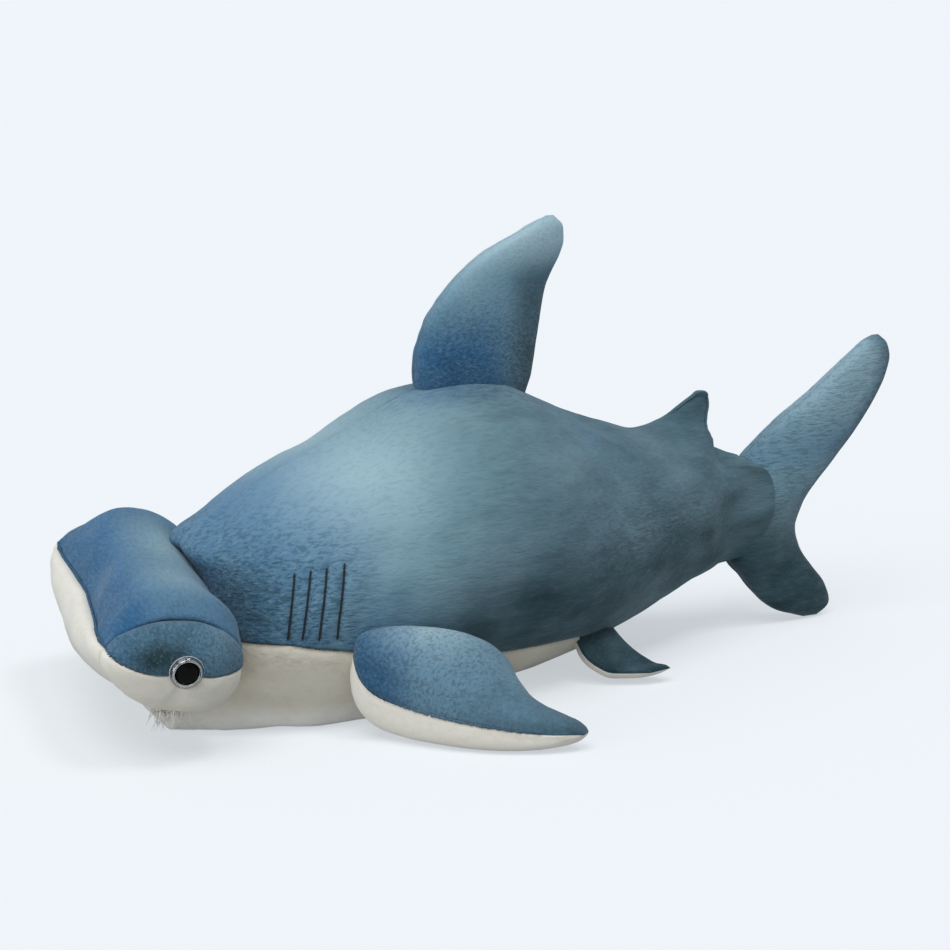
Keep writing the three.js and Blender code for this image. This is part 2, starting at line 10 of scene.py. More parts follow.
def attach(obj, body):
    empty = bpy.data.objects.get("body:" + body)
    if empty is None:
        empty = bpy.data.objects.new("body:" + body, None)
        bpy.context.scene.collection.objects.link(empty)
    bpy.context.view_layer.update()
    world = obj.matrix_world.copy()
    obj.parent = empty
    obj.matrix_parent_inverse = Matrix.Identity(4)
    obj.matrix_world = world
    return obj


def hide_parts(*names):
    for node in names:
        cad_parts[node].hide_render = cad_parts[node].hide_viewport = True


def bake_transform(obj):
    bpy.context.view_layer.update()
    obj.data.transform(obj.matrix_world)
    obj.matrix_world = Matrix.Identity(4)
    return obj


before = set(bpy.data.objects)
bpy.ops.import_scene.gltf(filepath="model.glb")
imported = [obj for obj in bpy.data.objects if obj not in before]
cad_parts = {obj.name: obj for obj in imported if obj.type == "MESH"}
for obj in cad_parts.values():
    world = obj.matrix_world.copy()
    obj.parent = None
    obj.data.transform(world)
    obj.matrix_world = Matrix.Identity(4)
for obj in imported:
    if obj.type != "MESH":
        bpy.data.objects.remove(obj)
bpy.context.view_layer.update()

ORIGIN_SHIFT = -18.3  # from the design frame to the CAD frame, along Y
TAU = 2 * math.pi


def metres(points):
    """Design millimetres to metres in the CAD frame."""
    return (np.asarray(points, float) + (0.0, ORIGIN_SHIFT, 0.0)) / 1000.0


# ---------------------------------------------------------------- camera

AZIMUTH, ELEVATION, DISTANCE = math.radians(65), math.radians(14), 1.8
TARGET = Vector((0.0, -0.0183, 0.143))
back = Vector(
    (
        math.sin(AZIMUTH) * math.cos(ELEVATION),
        -math.cos(AZIMUTH) * math.cos(ELEVATION),
        math.sin(ELEVATION),
    )
)
camera = bpy.data.objects.new("camera", bpy.data.cameras.new("camera"))
bpy.context.scene.collection.objects.link(camera)
camera.location = TARGET + DISTANCE * back
camera.rotation_euler = (-back).to_track_quat("-Z", "Y").to_euler()
camera.data.sensor_width = 36.0
camera.data.lens = 95.5
camera.data.clip_end = 100.0
bpy.context.scene.camera = camera

# ---------------------------------------------------------------- numbers, curves and noise


def profile(*pairs):
    """A smooth function through (position, value) pairs, level beyond its ends."""
    x = np.array([p[0] for p in pairs], float)
    y = np.array([p[1] for p in pairs], float)
    secant = np.diff(y) / np.diff(x)
    slope = np.zeros_like(y)
    slope[0], slope[-1] = secant[0], secant[-1]
    product = secant[:-1] * secant[1:]
    total = np.where(product > 0, secant[:-1] + secant[1:], 1.0)
    slope[1:-1] = np.where(product > 0, 2 * product / total, 0.0)

    def value(at):
        at = np.clip(np.asarray(at, float), x[0], x[-1])
        i = np.clip(np.searchsorted(x, at, side="right") - 1, 0, len(x) - 2)
        width = x[i + 1] - x[i]
        t = (at - x[i]) / width
        return (
            (2 * t**3 - 3 * t**2 + 1) * y[i]
            + (t**3 - 2 * t**2 + t) * width * slope[i]
            + (3 * t**2 - 2 * t**3) * y[i + 1]
            + (t**3 - t**2) * width * slope[i + 1]
        )

    return value


def smooth(t):
    t = np.clip(t, 0.0, 1.0)
    return t * t * (3 - 2 * t)


def catmull(a, b, c, d, t):
    """A smooth curve from b (t = 0) to c (t = 1), with a before them and d after."""
    return 0.5 * (2 * b + (c - a) * t + (2 * a - 5 * b + 4 * c - d) * t**2 + (3 * b - a - 3 * c + d) * t**3)


def spline(points, count):
    """`count` points, evenly spaced along a smooth open curve through the given ones."""
    points = np.asarray(points, float)
    ends = np.vstack([2 * points[0] - points[1], points, 2 * points[-1] - points[-2]])
    dense = []
    for i in range(len(points) - 1):
        a, b, c, d = ends[i : i + 4]
        t = np.linspace(0, 1, 24, endpoint=False)[:, None]
        dense.append(catmull(a, b, c, d, t))
    dense = np.vstack([*dense, points[-1:]])
    run = np.concatenate([[0], np.cumsum(np.linalg.norm(np.diff(dense, axis=0), axis=1))])
    want = np.linspace(0, run[-1], count)
    return np.stack([np.interp(want, run, dense[:, k]) for k in range(dense.shape[1])], axis=1)


def noise(points, size, seed=0):
    """Smooth value noise from -1 to 1, with blobs about `size` across (one number, or one per axis)."""
    table = np.random.RandomState(1000 + seed).uniform(-1, 1, 4096)
    q = np.asarray(points, float) / size + 37.7 + seed * 11.3
    cell = np.floor(q).astype(np.int64)
    f = q - cell
    f = f * f * (3 - 2 * f)
    total = 0.0
    for dx in (0, 1):
        for dy in (0, 1):
            for dz in (0, 1):
                key = (
                    (cell[..., 0] + dx) * 73856093
                    ^ (cell[..., 1] + dy) * 19349663
                    ^ (cell[..., 2] + dz) * 83492791
                ) & 4095
                weight = (
                    np.where(dx, f[..., 0], 1 - f[..., 0])
                    * np.where(dy, f[..., 1], 1 - f[..., 1])
                    * np.where(dz, f[..., 2], 1 - f[..., 2])
                )
                total = total + weight * table[key]
    return total


def resample(grid, rows, columns):
    """The grid at fractional row and column numbers, by smooth interpolation."""

    def along(values, at):
        count = len(values)
        i = np.clip(np.floor(at).astype(int), 0, count - 2)
        t = (at - i).reshape(-1, *([1] * (values.ndim - 1)))
        b, c = values[i], values[i + 1]
        a = np.where((i > 0).reshape(t.shape), values[np.maximum(i - 1, 0)], 2 * b - c)
        d = np.where((i < count - 2).reshape(t.shape), values[np.minimum(i + 2, count - 1)], 2 * c - b)
        return catmull(a, b, c, d, t)

    first = along(grid, np.asarray(rows, float))
    return np.swapaxes(along(np.swapaxes(first, 0, 1), np.asarray(columns, float)), 0, 1)


def normals(grid, inside):
    """Unit normals of a grid, away from the point `inside` on the whole."""
    n = np.cross(np.gradient(grid, axis=0), np.gradient(grid, axis=1))
    size = np.linalg.norm(n, axis=2, keepdims=True)
    n = n / np.maximum(size, 1e-9)
    bad = size[..., 0] < 1e-6
    if bad.any():
        away = grid - inside
        away /= np.maximum(np.linalg.norm(away, axis=2, keepdims=True), 1e-9)
        n[bad] = away[bad] * (1 if (n * away).sum() > 0 else -1)
    if (n * (grid - inside)).sum() < 0:
        n = -n
    return n


def edge_distances(grid):
    """How far each point is from the first and last row, and from the first and last column."""
    down, across = np.zeros(grid.shape[:2]), np.zeros(grid.shape[:2])
    down[1:] = np.cumsum(np.linalg.norm(np.diff(grid, axis=0), axis=2), axis=0)
    across[:, 1:] = np.cumsum(np.linalg.norm(np.diff(grid, axis=1), axis=2), axis=1)
    return down, down[-1:] - down, across, across[:, -1:] - across, down, across


# ---------------------------------------------------------------- materials


def material(name):
    made = bpy.data.materials.new(name)
    made.use_nodes = True
    return made, made.node_tree, made.node_tree.nodes["Principled BSDF"]


def set_or_link(tree, socket, value):
    """Feeds a socket from another node's output, or sets it to a plain value."""
    if hasattr(value, "is_output"):
        tree.links.new(value, socket)
    else:
        socket.default_value = value


def mix(tree, factor, first, second):
    node = tree.nodes.new("ShaderNodeMix")
    node.data_type = "RGBA"
    for socket, value in ((0, factor), (6, first), (7, second)):
        set_or_link(tree, node.inputs[socket], value)
    return node.outputs[2]


def scaled_noise(tree, coordinates, scale, stretch=(1, 1, 1), turn=(0, 0, 0), detail=3.0, rough=0.55):
    mapping = tree.nodes.new("ShaderNodeMapping")
    mapping.inputs["Scale"].default_value = stretch
    mapping.inputs["Rotation"].default_value = turn
    tree.links.new(coordinates, mapping.inputs["Vector"])
    node = tree.nodes.new("ShaderNodeTexNoise")
    node.inputs["Scale"].default_value = scale
    node.inputs["Detail"].default_value = detail
    node.inputs["Roughness"].default_value = rough
    tree.links.new(mapping.outputs[0], node.inputs["Vector"])
    return node.outputs["Fac"]


def ramp(tree, value, low, high, to_low=0.0, to_high=1.0):
    node = tree.nodes.new("ShaderNodeMapRange")
    node.interpolation_type = "SMOOTHSTEP"
    for socket, number in zip(range(1, 5), (low, high, to_low, to_high)):
        node.inputs[socket].default_value = number
    tree.links.new(value, node.inputs[0])
    return node.outputs[0]


def math_node(tree, operation, first, second):
    node = tree.nodes.new("ShaderNodeMath")
    node.operation = operation
    for socket, value in ((0, first), (1, second)):
        set_or_link(tree, node.inputs[socket], value)
    return node.outputs[0]


def linear(r, g, b):
    def channel(v):
        v /= 255.0
        return v / 12.92 if v <= 0.04045 else ((v + 0.055) / 1.055) ** 2.4

    return (channel(r), channel(g), channel(b), 1.0)


def plush(name, dye_and_shading_tones, nap_turn, nap_stretch, nap_height, mottle, nap_scale):
    """Short brushed pile: colour from the mesh's tint (airbrushed dye, painted shade and painted light),
    mottling, and combed ripples with painted shade in their valleys and painted highlights on their crests.

    The tint's red says how deep the dye is; its green and blue say how dark and pale the colour is, partly
    from the dye and partly as painted shade and painted light; its alpha says how ruffled the pile is.
    """
    made, tree, shader = material(name)
    base, deep, dark, pale = dye_and_shading_tones
    where = tree.nodes.new("ShaderNodeTexCoord").outputs["Object"]
    tint = tree.nodes.new("ShaderNodeAttribute")
    tint.attribute_name = "tint"
    parts = tree.nodes.new("ShaderNodeSeparateColor")
    tree.links.new(tint.outputs["Color"], parts.inputs[0])
    ruffled = tint.outputs["Alpha"]

    patches = scaled_noise(tree, where, 16, detail=2.0)
    strokes = scaled_noise(tree, where, 60, nap_stretch, nap_turn, detail=4.0, rough=0.65)
    ripples = scaled_noise(tree, where, nap_scale, nap_stretch, nap_turn, detail=2.5, rough=0.6)
    grain = scaled_noise(tree, where, 2.2 * nap_scale, nap_stretch, nap_turn, detail=2.0)
    fibres = scaled_noise(tree, where, 1700, detail=2.0)

    def swayed(value, noise_value, amount):
        centred = math_node(tree, "SUBTRACT", noise_value, 0.5)
        pushed = math_node(tree, "MULTIPLY", centred, amount)
        inside = math_node(tree, "MULTIPLY", pushed, ramp(tree, value, 0.0, 0.35))
        return math_node(tree, "ADD", value, inside)

    colour = mix(tree, swayed(parts.outputs[0], patches, 1.1), base, deep)
    colour = mix(tree, swayed(parts.outputs[1], strokes, 0.5), colour, dark)
    colour = mix(tree, swayed(parts.outputs[2], strokes, 0.5), colour, pale)
    colour = mix(tree, ramp(tree, patches, 0.40, 0.72, 0.0, 0.28 * mottle), colour, pale)
    colour = mix(tree, ramp(tree, strokes, 0.45, 0.75, 0.0, 0.12 * mottle), colour, dark)
    # Ripple valleys are darkened and ripple crests lightened, with the same noise that drives the bump:
    # painted shade and painted highlight.
    valley = ramp(tree, ripples, 0.38, 0.50, 0.90 * mottle, 0.0)
    colour = mix(tree, math_node(tree, "MULTIPLY", valley, ruffled), colour, dark)
    crest = ramp(tree, ripples, 0.54, 0.68, 0.0, 0.30 * mottle)
    colour = mix(tree, math_node(tree, "MULTIPLY", crest, ruffled), colour, pale)
    tree.links.new(colour, shader.inputs["Base Color"])

    waves = math_node(tree, "ADD", ripples, math_node(tree, "MULTIPLY", grain, 0.45))
    waves = math_node(tree, "MULTIPLY", waves, ramp(tree, ruffled, 0.0, 1.0, 0.18, 1.0))
    height = math_node(tree, "ADD", waves, math_node(tree, "MULTIPLY", fibres, 0.09))
    bump = tree.nodes.new("ShaderNodeBump")
    bump.inputs["Strength"].default_value = 0.9
    bump.inputs["Distance"].default_value = nap_height
    tree.links.new(height, bump.inputs["Height"])
    tree.links.new(bump.outputs[0], shader.inputs["Normal"])
    tree.links.new(ramp(tree, ripples, 0.3, 0.7, 0.95, 0.78), shader.inputs["Roughness"])
    shader.inputs["Sheen Weight"].default_value = 0.22
    shader.inputs["Sheen Roughness"].default_value = 0.5
    shader.inputs["Sheen Tint"].default_value = (0.75, 0.88, 1.0, 1.0)
    shader.inputs["Specular IOR Level"].default_value = 0.15
    return made


# Tones: plain, deep, dark and pale; the dark and pale ones serve both as dye colours and as painted shade and
# painted light.
BLUES = (linear(112, 146, 160), linear(38, 96, 142), linear(26, 52, 60), linear(158, 186, 196))
CREAMS = (linear(216, 212, 201), linear(184, 176, 154), linear(138, 132, 118), linear(232, 230, 225))

blue_body = plush("plush_blue_body", BLUES, (0.25, 0, 0), (1.0, 0.34, 1.45), 0.0022, 0.5, 340)
blue_head = plush("plush_blue_head", BLUES, (0, 0, 0.35), (0.4, 1.1, 1.1), 0.0018, 0.42, 460)
blue_fin = plush("plush_blue_fin", BLUES, (0.2, 0.3, 0.4), (1.0, 0.65, 0.8), 0.0016, 0.42, 520)
cream = plush("plush_cream", CREAMS, (0, 0, 0), (0.8, 0.5, 0.8), 0.0009, 0.22, 250)


def plain(name, colour, roughness, spread_to, scale, height):
    """A material whose colour and roughness vary with a fine noise, over a shallow bump."""
    made, tree, shader = material(name)
    where = tree.nodes.new("ShaderNodeTexCoord").outputs["Object"]
    spots = scaled_noise(tree, where, scale, detail=4.0)
    tree.links.new(mix(tree, ramp(tree, spots, 0.3, 0.7), colour, spread_to), shader.inputs["Base Color"])
    tree.links.new(ramp(tree, spots, 0.2, 0.8, roughness * 0.85, roughness), shader.inputs["Roughness"])
    if height:
        bump = tree.nodes.new("ShaderNodeBump")
        bump.inputs["Distance"].default_value = height
        tree.links.new(spots, bump.inputs["Height"])
        tree.links.new(bump.outputs[0], shader.inputs["Normal"])
    return made


filling = plain("fibre_filling", linear(240, 240, 236), 1.0, linear(222, 222, 216), 240, 0.002)
thread = plain("gill_thread", linear(8, 10, 14), 0.8, linear(18, 24, 30), 1400, 0.0002)
pupil_black = plain("eye_black", linear(3, 3, 4), 0.09, linear(6, 6, 7), 300, 0.0)
pupil_black.node_tree.nodes["Principled BSDF"].inputs["Specular IOR Level"].default_value = 0.12
washer_white = plain("washer_plastic", linear(226, 226, 220), 0.45, linear(214, 214, 208), 300, 0.0001)

clear, clear_tree, clear_shader = material("eye_clear")
clear_shader.inputs["Base Color"].default_value = (0.86, 0.88, 0.88, 1)
clear_shader.inputs["Transmission Weight"].default_value = 1.0
clear_shader.inputs["IOR"].default_value = 1.5
clear_where = clear_tree.nodes.new("ShaderNodeTexCoord").outputs["Object"]
smears = scaled_noise(clear_tree, clear_where, 500)
clear_tree.links.new(ramp(clear_tree, smears, 0.2, 0.9, 0.0, 0.02), clear_shader.inputs["Roughness"])

# ---------------------------------------------------------------- meshes from grids


def clean_mesh(mesh, merge_within=None):
    """Turns the faces outwards, after merging points closer than `merge_within` metres."""
    work = bmesh.new()
    work.from_mesh(mesh)
    if merge_within:
        bmesh.ops.remove_doubles(work, verts=work.verts, dist=merge_within)
    bmesh.ops.recalc_face_normals(work, faces=work.faces)
    work.to_mesh(mesh)
    work.free()


def mesh_object(name, points_mm, faces, look, tint=None):
    mesh = bpy.data.meshes.new(name)
    mesh.from_pydata(metres(points_mm).tolist(), [], [list(map(int, f)) for f in faces])
    mesh.materials.append(look)
    if tint is not None:
        layer = mesh.color_attributes.new("tint", "FLOAT_COLOR", "POINT")
        values = np.ones((len(points_mm), 4), np.float32)
        values[:, : np.shape(tint)[1]] = np.clip(tint, 0, 1)
        layer.data.foreach_set("color", values.ravel())
    made = bpy.data.objects.new(name, mesh)
    bpy.context.scene.collection.objects.link(made)
    clean_mesh(mesh, 2e-6)
    mesh.polygons.foreach_set("use_smooth", [True] * len(mesh.polygons))
    mesh.update()
    return made


def grid_faces(rows, columns, offset=0, flip=False):
    a = (np.arange(rows - 1)[:, None] * columns + np.arange(columns - 1)[None, :]).ravel() + offset
    quads = np.stack([a, a + 1, a + columns + 1, a + columns], axis=1)
    return quads[:, ::-1] if flip else quads


def ring_faces(rings, around):
    """Quads that join each closed ring of `around` points to the next."""
    here = np.arange(around)
    start = np.arange(rings - 1)[:, None] * around
    a, b = (start + here).ravel(), (start + np.roll(here, -1)).ravel()
    return np.stack([a, b, b + around, a + around], axis=1)


def shell(outer, inner):
    """Points and faces of a closed skin between an outer and an inner grid."""
    rows, columns = outer.shape[:2]
    count = rows * columns
    points = np.vstack([outer.reshape(-1, 3), inner.reshape(-1, 3)])
    faces = [grid_faces(rows, columns), grid_faces(rows, columns, count, True)]
    rim = np.concatenate(
        [
            np.arange(columns),
            np.arange(1, rows) * columns + columns - 1,
            (rows - 1) * columns + np.arange(columns - 2, -1, -1),
            np.arange(rows - 2, -1, -1) * columns,
        ]
    )
    faces.append(np.stack([rim[:-1], rim[:-1] + count, rim[1:] + count, rim[1:]], axis=1))
    return points, np.vstack(faces)


# ---------------------------------------------------------------- cloth: pressure on whole sewn covers


def sewn(panels, pressure=4.0, cap=6.0, grow=0.0, calm=4):
    """Fills a cover of panels (grids that share their seam points) with pressure, seams held.

    Returns the panels' grids after the simulation.
    """
    sizes = [p.shape[0] * p.shape[1] for p in panels]
    points = np.vstack([p.reshape(-1, 3) for p in panels])
    faces = []
    held = np.zeros(len(points), bool)
    start = 0
    for number, p in enumerate(panels):
        rows, columns = p.shape[:2]
        faces.append(grid_faces(rows, columns, start))
        index = np.arange(rows * columns).reshape(rows, columns) + start
        for line in (index[0], index[-1], index[:, 0], index[:, -1]):
            held[line] = True
        start += rows * columns
    faces = np.vstack(faces)
    key = np.round(points * 50).astype(np.int64)
    _, first, back_to = np.unique(key, axis=0, return_index=True, return_inverse=True)
    back_to = back_to.ravel()
    merged = points[first]
    pinned = np.zeros(len(first), bool)
    np.logical_or.at(pinned, back_to, held)
    faces = back_to[faces]
    clean = []
    for f in faces:
        ring = list(dict.fromkeys(f.tolist()))
        if len(ring) > 2:
            clean.append(ring)
    mesh = bpy.data.meshes.new("cover")
    mesh.from_pydata((merged / 1000.0).tolist(), [], clean)
    cover = bpy.data.objects.new("cover", mesh)
    bpy.context.scene.collection.objects.link(cover)
    clean_mesh(mesh)
    group = cover.vertex_groups.new(name="seams")
    group.add([int(i) for i in np.nonzero(pinned)[0]], 1.0, "REPLACE")
    cloth = cover.modifiers.new("fill", "CLOTH")
    cloth.settings.quality = 5
    cloth.settings.mass = 0.25
    cloth.settings.tension_stiffness = 18
    cloth.settings.compression_stiffness = 18
    cloth.settings.shear_stiffness = 8
    cloth.settings.bending_stiffness = 1.2
    cloth.settings.use_pressure = True
    cloth.settings.uniform_pressure_force = pressure
    cloth.settings.shrink_min = -grow
    cloth.settings.vertex_group_mass = "seams"
    cloth.settings.pin_stiffness = 1.0
    cloth.settings.effector_weights.gravity = 0.0
    cloth.point_cache.frame_start = 1
    cloth.point_cache.frame_end = 20
    scene = bpy.context.scene
    for number in range(1, 21):
        scene.frame_set(number)
    shaped = cover.evaluated_get(bpy.context.evaluated_depsgraph_get()).to_mesh()
    moved = np.empty(len(merged) * 3)
    shaped.vertices.foreach_get("co", moved)
    moved = moved.reshape(-1, 3) * 1000.0
    bpy.data.objects.remove(cover)
    scene.frame_set(1)
    step = moved - merged
    size = np.linalg.norm(step, axis=1, keepdims=True)
    step *= np.minimum(1.0, cap / np.maximum(size, 1e-9))
    moved = (merged + step)[back_to]
    result, start = [], 0
    for p, size in zip(panels, sizes):
        shift = moved[start : start + size].reshape(p.shape) - p
        for _ in range(calm):
            shift[1:-1] = (shift[:-2] + 2 * shift[1:-1] + shift[2:]) / 4
            shift[:, 1:-1] = (shift[:, :-2] + 2 * shift[:, 1:-1] + shift[:, 2:]) / 4
        result.append(p + shift)
        start += size
    return result


def dressed(
    grid, inside, rolls, pucker=(0, 0, 0, 0), lump=0.5, ripple=0.12, seed=0, extra=None, floor=False, keep=1.0
):
    """A finished outer surface: rolled edges, puckers along the seams, lumps of filling, combed ripples."""
    n = normals(grid, inside)
    *edges, down, across = edge_distances(grid)
    push = lump * noise(grid, 34, seed) + 0.5 * lump * noise(grid, 15, seed + 1)
    push = push + ripple * noise(grid, (5, 9, 5), seed + 2)
    for number, (distance, radius, amount) in enumerate(zip(edges, rolls, pucker)):
        if amount:
            place = np.stack([down if number > 1 else across] * 3, axis=2) * (1, 0.0, 0.0)
            wave = noise(place, 5.5, seed + 7 + number) + 0.6 * noise(place, 11.0, seed + 17 + number)
            reach = np.exp(-((distance / 7.5) ** 2)) * (1 - np.exp(-((distance / 1.5) ** 2)))
            push = push + amount * wave * reach
        if radius:
            near = np.clip(radius - distance, 0, radius)
            push = push - (radius - np.sqrt(np.maximum(radius**2 - near**2, 0)))
            push = push - 0.35 * radius * np.exp(-((distance / (2.6 * radius)) ** 2))
    if extra is not None:
        push = push + extra
    out = grid + n * (keep * push)[..., None]
    if floor:
        out[..., 2] = np.maximum(out[..., 2], 0.25)
    return out, n


SKIN = 2.6
EDGES = []


def keep_edge(name, outer, n, tint, column, length, count, look, flips=2, turn=None, shift=0.0):
    """Remembers one edge column of a finished panel, for the pile along its seam."""
    inward = column + (3 if column == 0 else -3)
    line, outward = outer[:, column], n[:, inward]
    across = outer[:, column] - outer[:, inward]
    if turn is not None:
        line, outward, across = line @ turn.T + shift, outward @ turn.T, across @ turn.T
    EDGES.append((name, (line, outward, across, tint[:, column]), length, count, look, flips))


def skin_piece(name, outer, n, look, tint, thickness=SKIN):
    """A plush panel as a closed skin, from its finished outside inwards."""
    inner = outer - n * np.broadcast_to(thickness, outer.shape[:2])[..., None]
    inner[..., 2] = np.maximum(inner[..., 2], 0.3)
    points, faces = shell(outer, inner)
    return mesh_object(name, points, faces, look, np.vstack([tint.reshape(-1, tint.shape[-1])] * 2))


def mirror(grid):
    return grid * (-1, 1, 1)


# ---------------------------------------------------------------- body

TAIL_LEAD = profile(
    (1, 280), (11, 252), (26, 234), (40, 223), (55, 212), (66, 214), (76, 219), (97, 219), (130, 221),
    (140, 229), (159, 252), (176, 278), (191, 297), (207, 317), (215, 327), (218, 333),
)
TAIL_TRAIL = profile(
    (1, 292), (5, 299), (11, 303), (26, 298), (40, 287), (58, 274), (75, 269), (93, 275), (125, 303),
    (145, 321), (169, 338), (187, 347), (200, 350), (211, 347), (218, 339),
)
TAIL_HALF = profile(
    (2, 0), (3.5, 4), (8, 8), (20, 11), (45, 15), (62, 19), (80, 22), (97, 23), (118, 21), (150, 15),
    (190, 12), (206, 9), (212, 7), (216, 3.5), (218, 0),
)
TAIL_TAPER, BLUNT = 0.55, 0.55


def rounded(along, blunt):
    """How full a fin's section is along its chord, from -1 at the leading edge to 1 at the trailing one."""
    return np.sqrt(np.maximum(1 - along**2, 1e-12)) ** (blunt + (0.85 - blunt) * (1 + along) / 2)


def tail_side(y, z):
    """How far from the middle plane the tail fin's surface is."""
    lead, trail = TAIL_LEAD(z), TAIL_TRAIL(z)
    along = np.clip(2 * (y - lead) / (trail - lead) - 1, -1, 1)
    return TAIL_HALF(z) * (1 - TAIL_TAPER * (along + 1) / 2) * rounded(along, BLUNT)


BODY_TOP = profile(
    (-246, 108), (-228, 120), (-200, 136), (-150, 164), (-100, 186), (-46, 210), (-15, 213), (17, 209),
    (43, 198), (70, 185), (130, 163), (180, 146), (205, 139), (214, 137), (222, 135.5),
)
BODY_BOTTOM = profile(
    (-246, -20), (-200, -30), (-150, -36), (-115, -36), (-80, -25), (-45, -13), (10, -4), (70, 10),
    (130, 31), (180, 48), (205, 54), (214, 56), (222, 57.5),
)
BODY_HALF = profile(
    (-246, 60), (-228, 68), (-200, 81), (-150, 98), (-100, 106), (-45, 108), (10, 104), (70, 83),
    (130, 57), (180, 37), (205, 27), (214, 24), (222, 21.5),
)
BELLY_SEAM = profile(
    (-246, 66), (-190, 65), (-150, 61), (-120, 55), (-80, 44), (-20, 37), (45, 34), (75, 24), (96, 19),
)
BODY_FRONT, BODY_END, BELLY_END = -246.0, 222.0, 96.0
CHEST_DEPTH = 100.0  # how far behind its front the body still leans forward under the head
REAR_START, FLUSH_START = 180.0, 176.0  # where it starts to bend to the tail seam, and to narrow to the tail
GROUND = 8.0  # below this height the fabric flattens out on the floor
# The seam to the tail fin: how far back it lies at each height.
TAIL_SEAM = profile(
    (57, 213.5), (60, 217), (68, 225), (84, 236), (100, 240), (114, 239.5), (124, 236), (136, 219),
)
# Where the front of the body meets the back of the hammer, at each height below and above the
# hammer's middle: the chest reaches forward under it.
NECK_LINE = profile(
    (-90, 2), (-64, 2), (-58, 6), (-50, 26), (-40, 40), (-24, 44), (0, 43), (10, 40), (20, 31), (30, 14),
    (40, 2),
)


def neck_y(x, z):
    """How far forward the body reaches at a place across and a height, turned as the hammer is."""
    return -250 - 0.13 * x + NECK_LINE(z - 90 + 0.087 * x)


def body_point(y, angle, depth=0.0):
    top, bottom, half = BODY_TOP(y) - depth, BODY_BOTTOM(y) + depth, BODY_HALF(y) - depth
    z = (top + bottom) / 2 + (top - bottom) / 2 * np.cos(angle)
    z = np.where(z > GROUND, z, GROUND * np.exp(np.minimum(z - GROUND, 0) / GROUND))
    z = np.maximum(z - GROUND * math.exp(-2.2) * smooth((GROUND - z) / GROUND), 0.3 + depth)
    x = half * np.sin(angle)
    front = np.clip(1 - (y - BODY_FRONT) / CHEST_DEPTH, 0, 1) ** 2
    rear = smooth((y - REAR_START) / (BODY_END - REAR_START))
    forward = front * (np.maximum(neck_y(x, z), BODY_FRONT) - BODY_FRONT)
    place = y + forward + rear * (TAIL_SEAM(z) - BODY_END)
    # The seam stands proud of the tail, most where the stuffing swells the tail.
    proud = 0.9 + 2.8 * np.exp(-(((z - 92) / 17) ** 2))
    ring = np.maximum(tail_side(TAIL_SEAM(z), z) + proud, 0.5 * np.abs(x))
    x = x + smooth((y - FLUSH_START) / (BODY_END - FLUSH_START)) * (np.sign(x) * ring - x)
    return np.stack([x, place, z + 0 * y], axis=-1)


def body_angle(y, height):
    middle = (BODY_TOP(y) + BODY_BOTTOM(y)) / 2
    reach = (BODY_TOP(y) - BODY_BOTTOM(y)) / 2
    return np.arccos(np.clip((height - middle) / reach, -0.9995, 0.9995))


def body_grids(rows, side_count, belly_count):
    """The left side (back ridge to belly seam) and the belly (left seam to right seam)."""
    seam = np.where(rows < BELLY_END, body_angle(rows, BELLY_SEAM(rows)), math.pi)
    close = smooth((rows - (BELLY_END - 26)) / 26)
    seam = np.where(rows < BELLY_END, seam + (math.pi - seam) * close**2, math.pi)
    t = np.linspace(0, 1, side_count)[None, :]
    side = body_point(rows[:, None], seam[:, None] * t)
    short = rows[rows <= BELLY_END + 0.01]
    edge = seam[: len(short)]
    t = np.linspace(0, 1, belly_count)[None, :]
    belly = body_point(short[:, None], edge[:, None] + (TAU - 2 * edge[:, None]) * t)
    return side, belly


SIM_STEP = 4.0
sim_rows = np.concatenate([np.arange(BODY_FRONT, BELLY_END, SIM_STEP), [BELLY_END]])
sim_rows = np.concatenate([sim_rows, np.arange(BELLY_END + SIM_STEP, BODY_END - 1, SIM_STEP), [BODY_END]])
side, belly = body_grids(sim_rows, 60, 34)
flat_side = side
side, belly = sewn([side, belly, mirror(side)], pressure=3.0, cap=4.0, grow=0.012)[:2]
# The fabric lies flatter where the tall fin is sewn on.
near_fin = np.exp(-(((flat_side - (0, -2, 210)) / (60, 75, 30)) ** 2).sum(-1))[..., None]
side = side + (flat_side - side) * np.clip(1.3 * near_fin, 0, 1)

# Finer rows where the gill threads pull the fabric in, and round the second dorsal fin.
fine_y = np.concatenate(
    [
        np.arange(BODY_FRONT, -182, 2.2),
        np.arange(-182, -116, 1.25),
        np.arange(-116, BELLY_END, 2.3),
        [BELLY_END],
        np.arange(BELLY_END + 2.2, REAR_START, 2.2),
        np.arange(REAR_START, BODY_END - 0.5, 1.1),
        [BODY_END],
    ]
)
fine_rows = np.interp(fine_y, sim_rows, np.arange(len(sim_rows)))
side = resample(side, fine_rows, np.linspace(0, 59, 132))
belly_rows = fine_rows[fine_y <= BELLY_END + 0.01]
belly = resample(belly, belly_rows, np.linspace(0, 33, 72))

INSIDE_BODY = np.array([0, 0, 90.0])

# Gills: four threads down each side, as (y, height) lines.
GILL_HEIGHTS = np.linspace(108, 66, 15)


def gill_line(number):
    t = np.linspace(0, 1, len(GILL_HEIGHTS))
    top = (-168.5, -158.5, -148.5, -137)[number]
    foot = (-177, -168.4, -158, -146)[number]
    high = (111.5, 113.5, 115, 117.5)[number]
    low = (68.2, 68.2, 67.7, 67.7)[number]
    return np.stack([top + (foot - top) * t - 0.8 * np.sin(math.pi * t), high + (low - high) * t], axis=1)


GILLS = [gill_line(i) for i in range(4)]


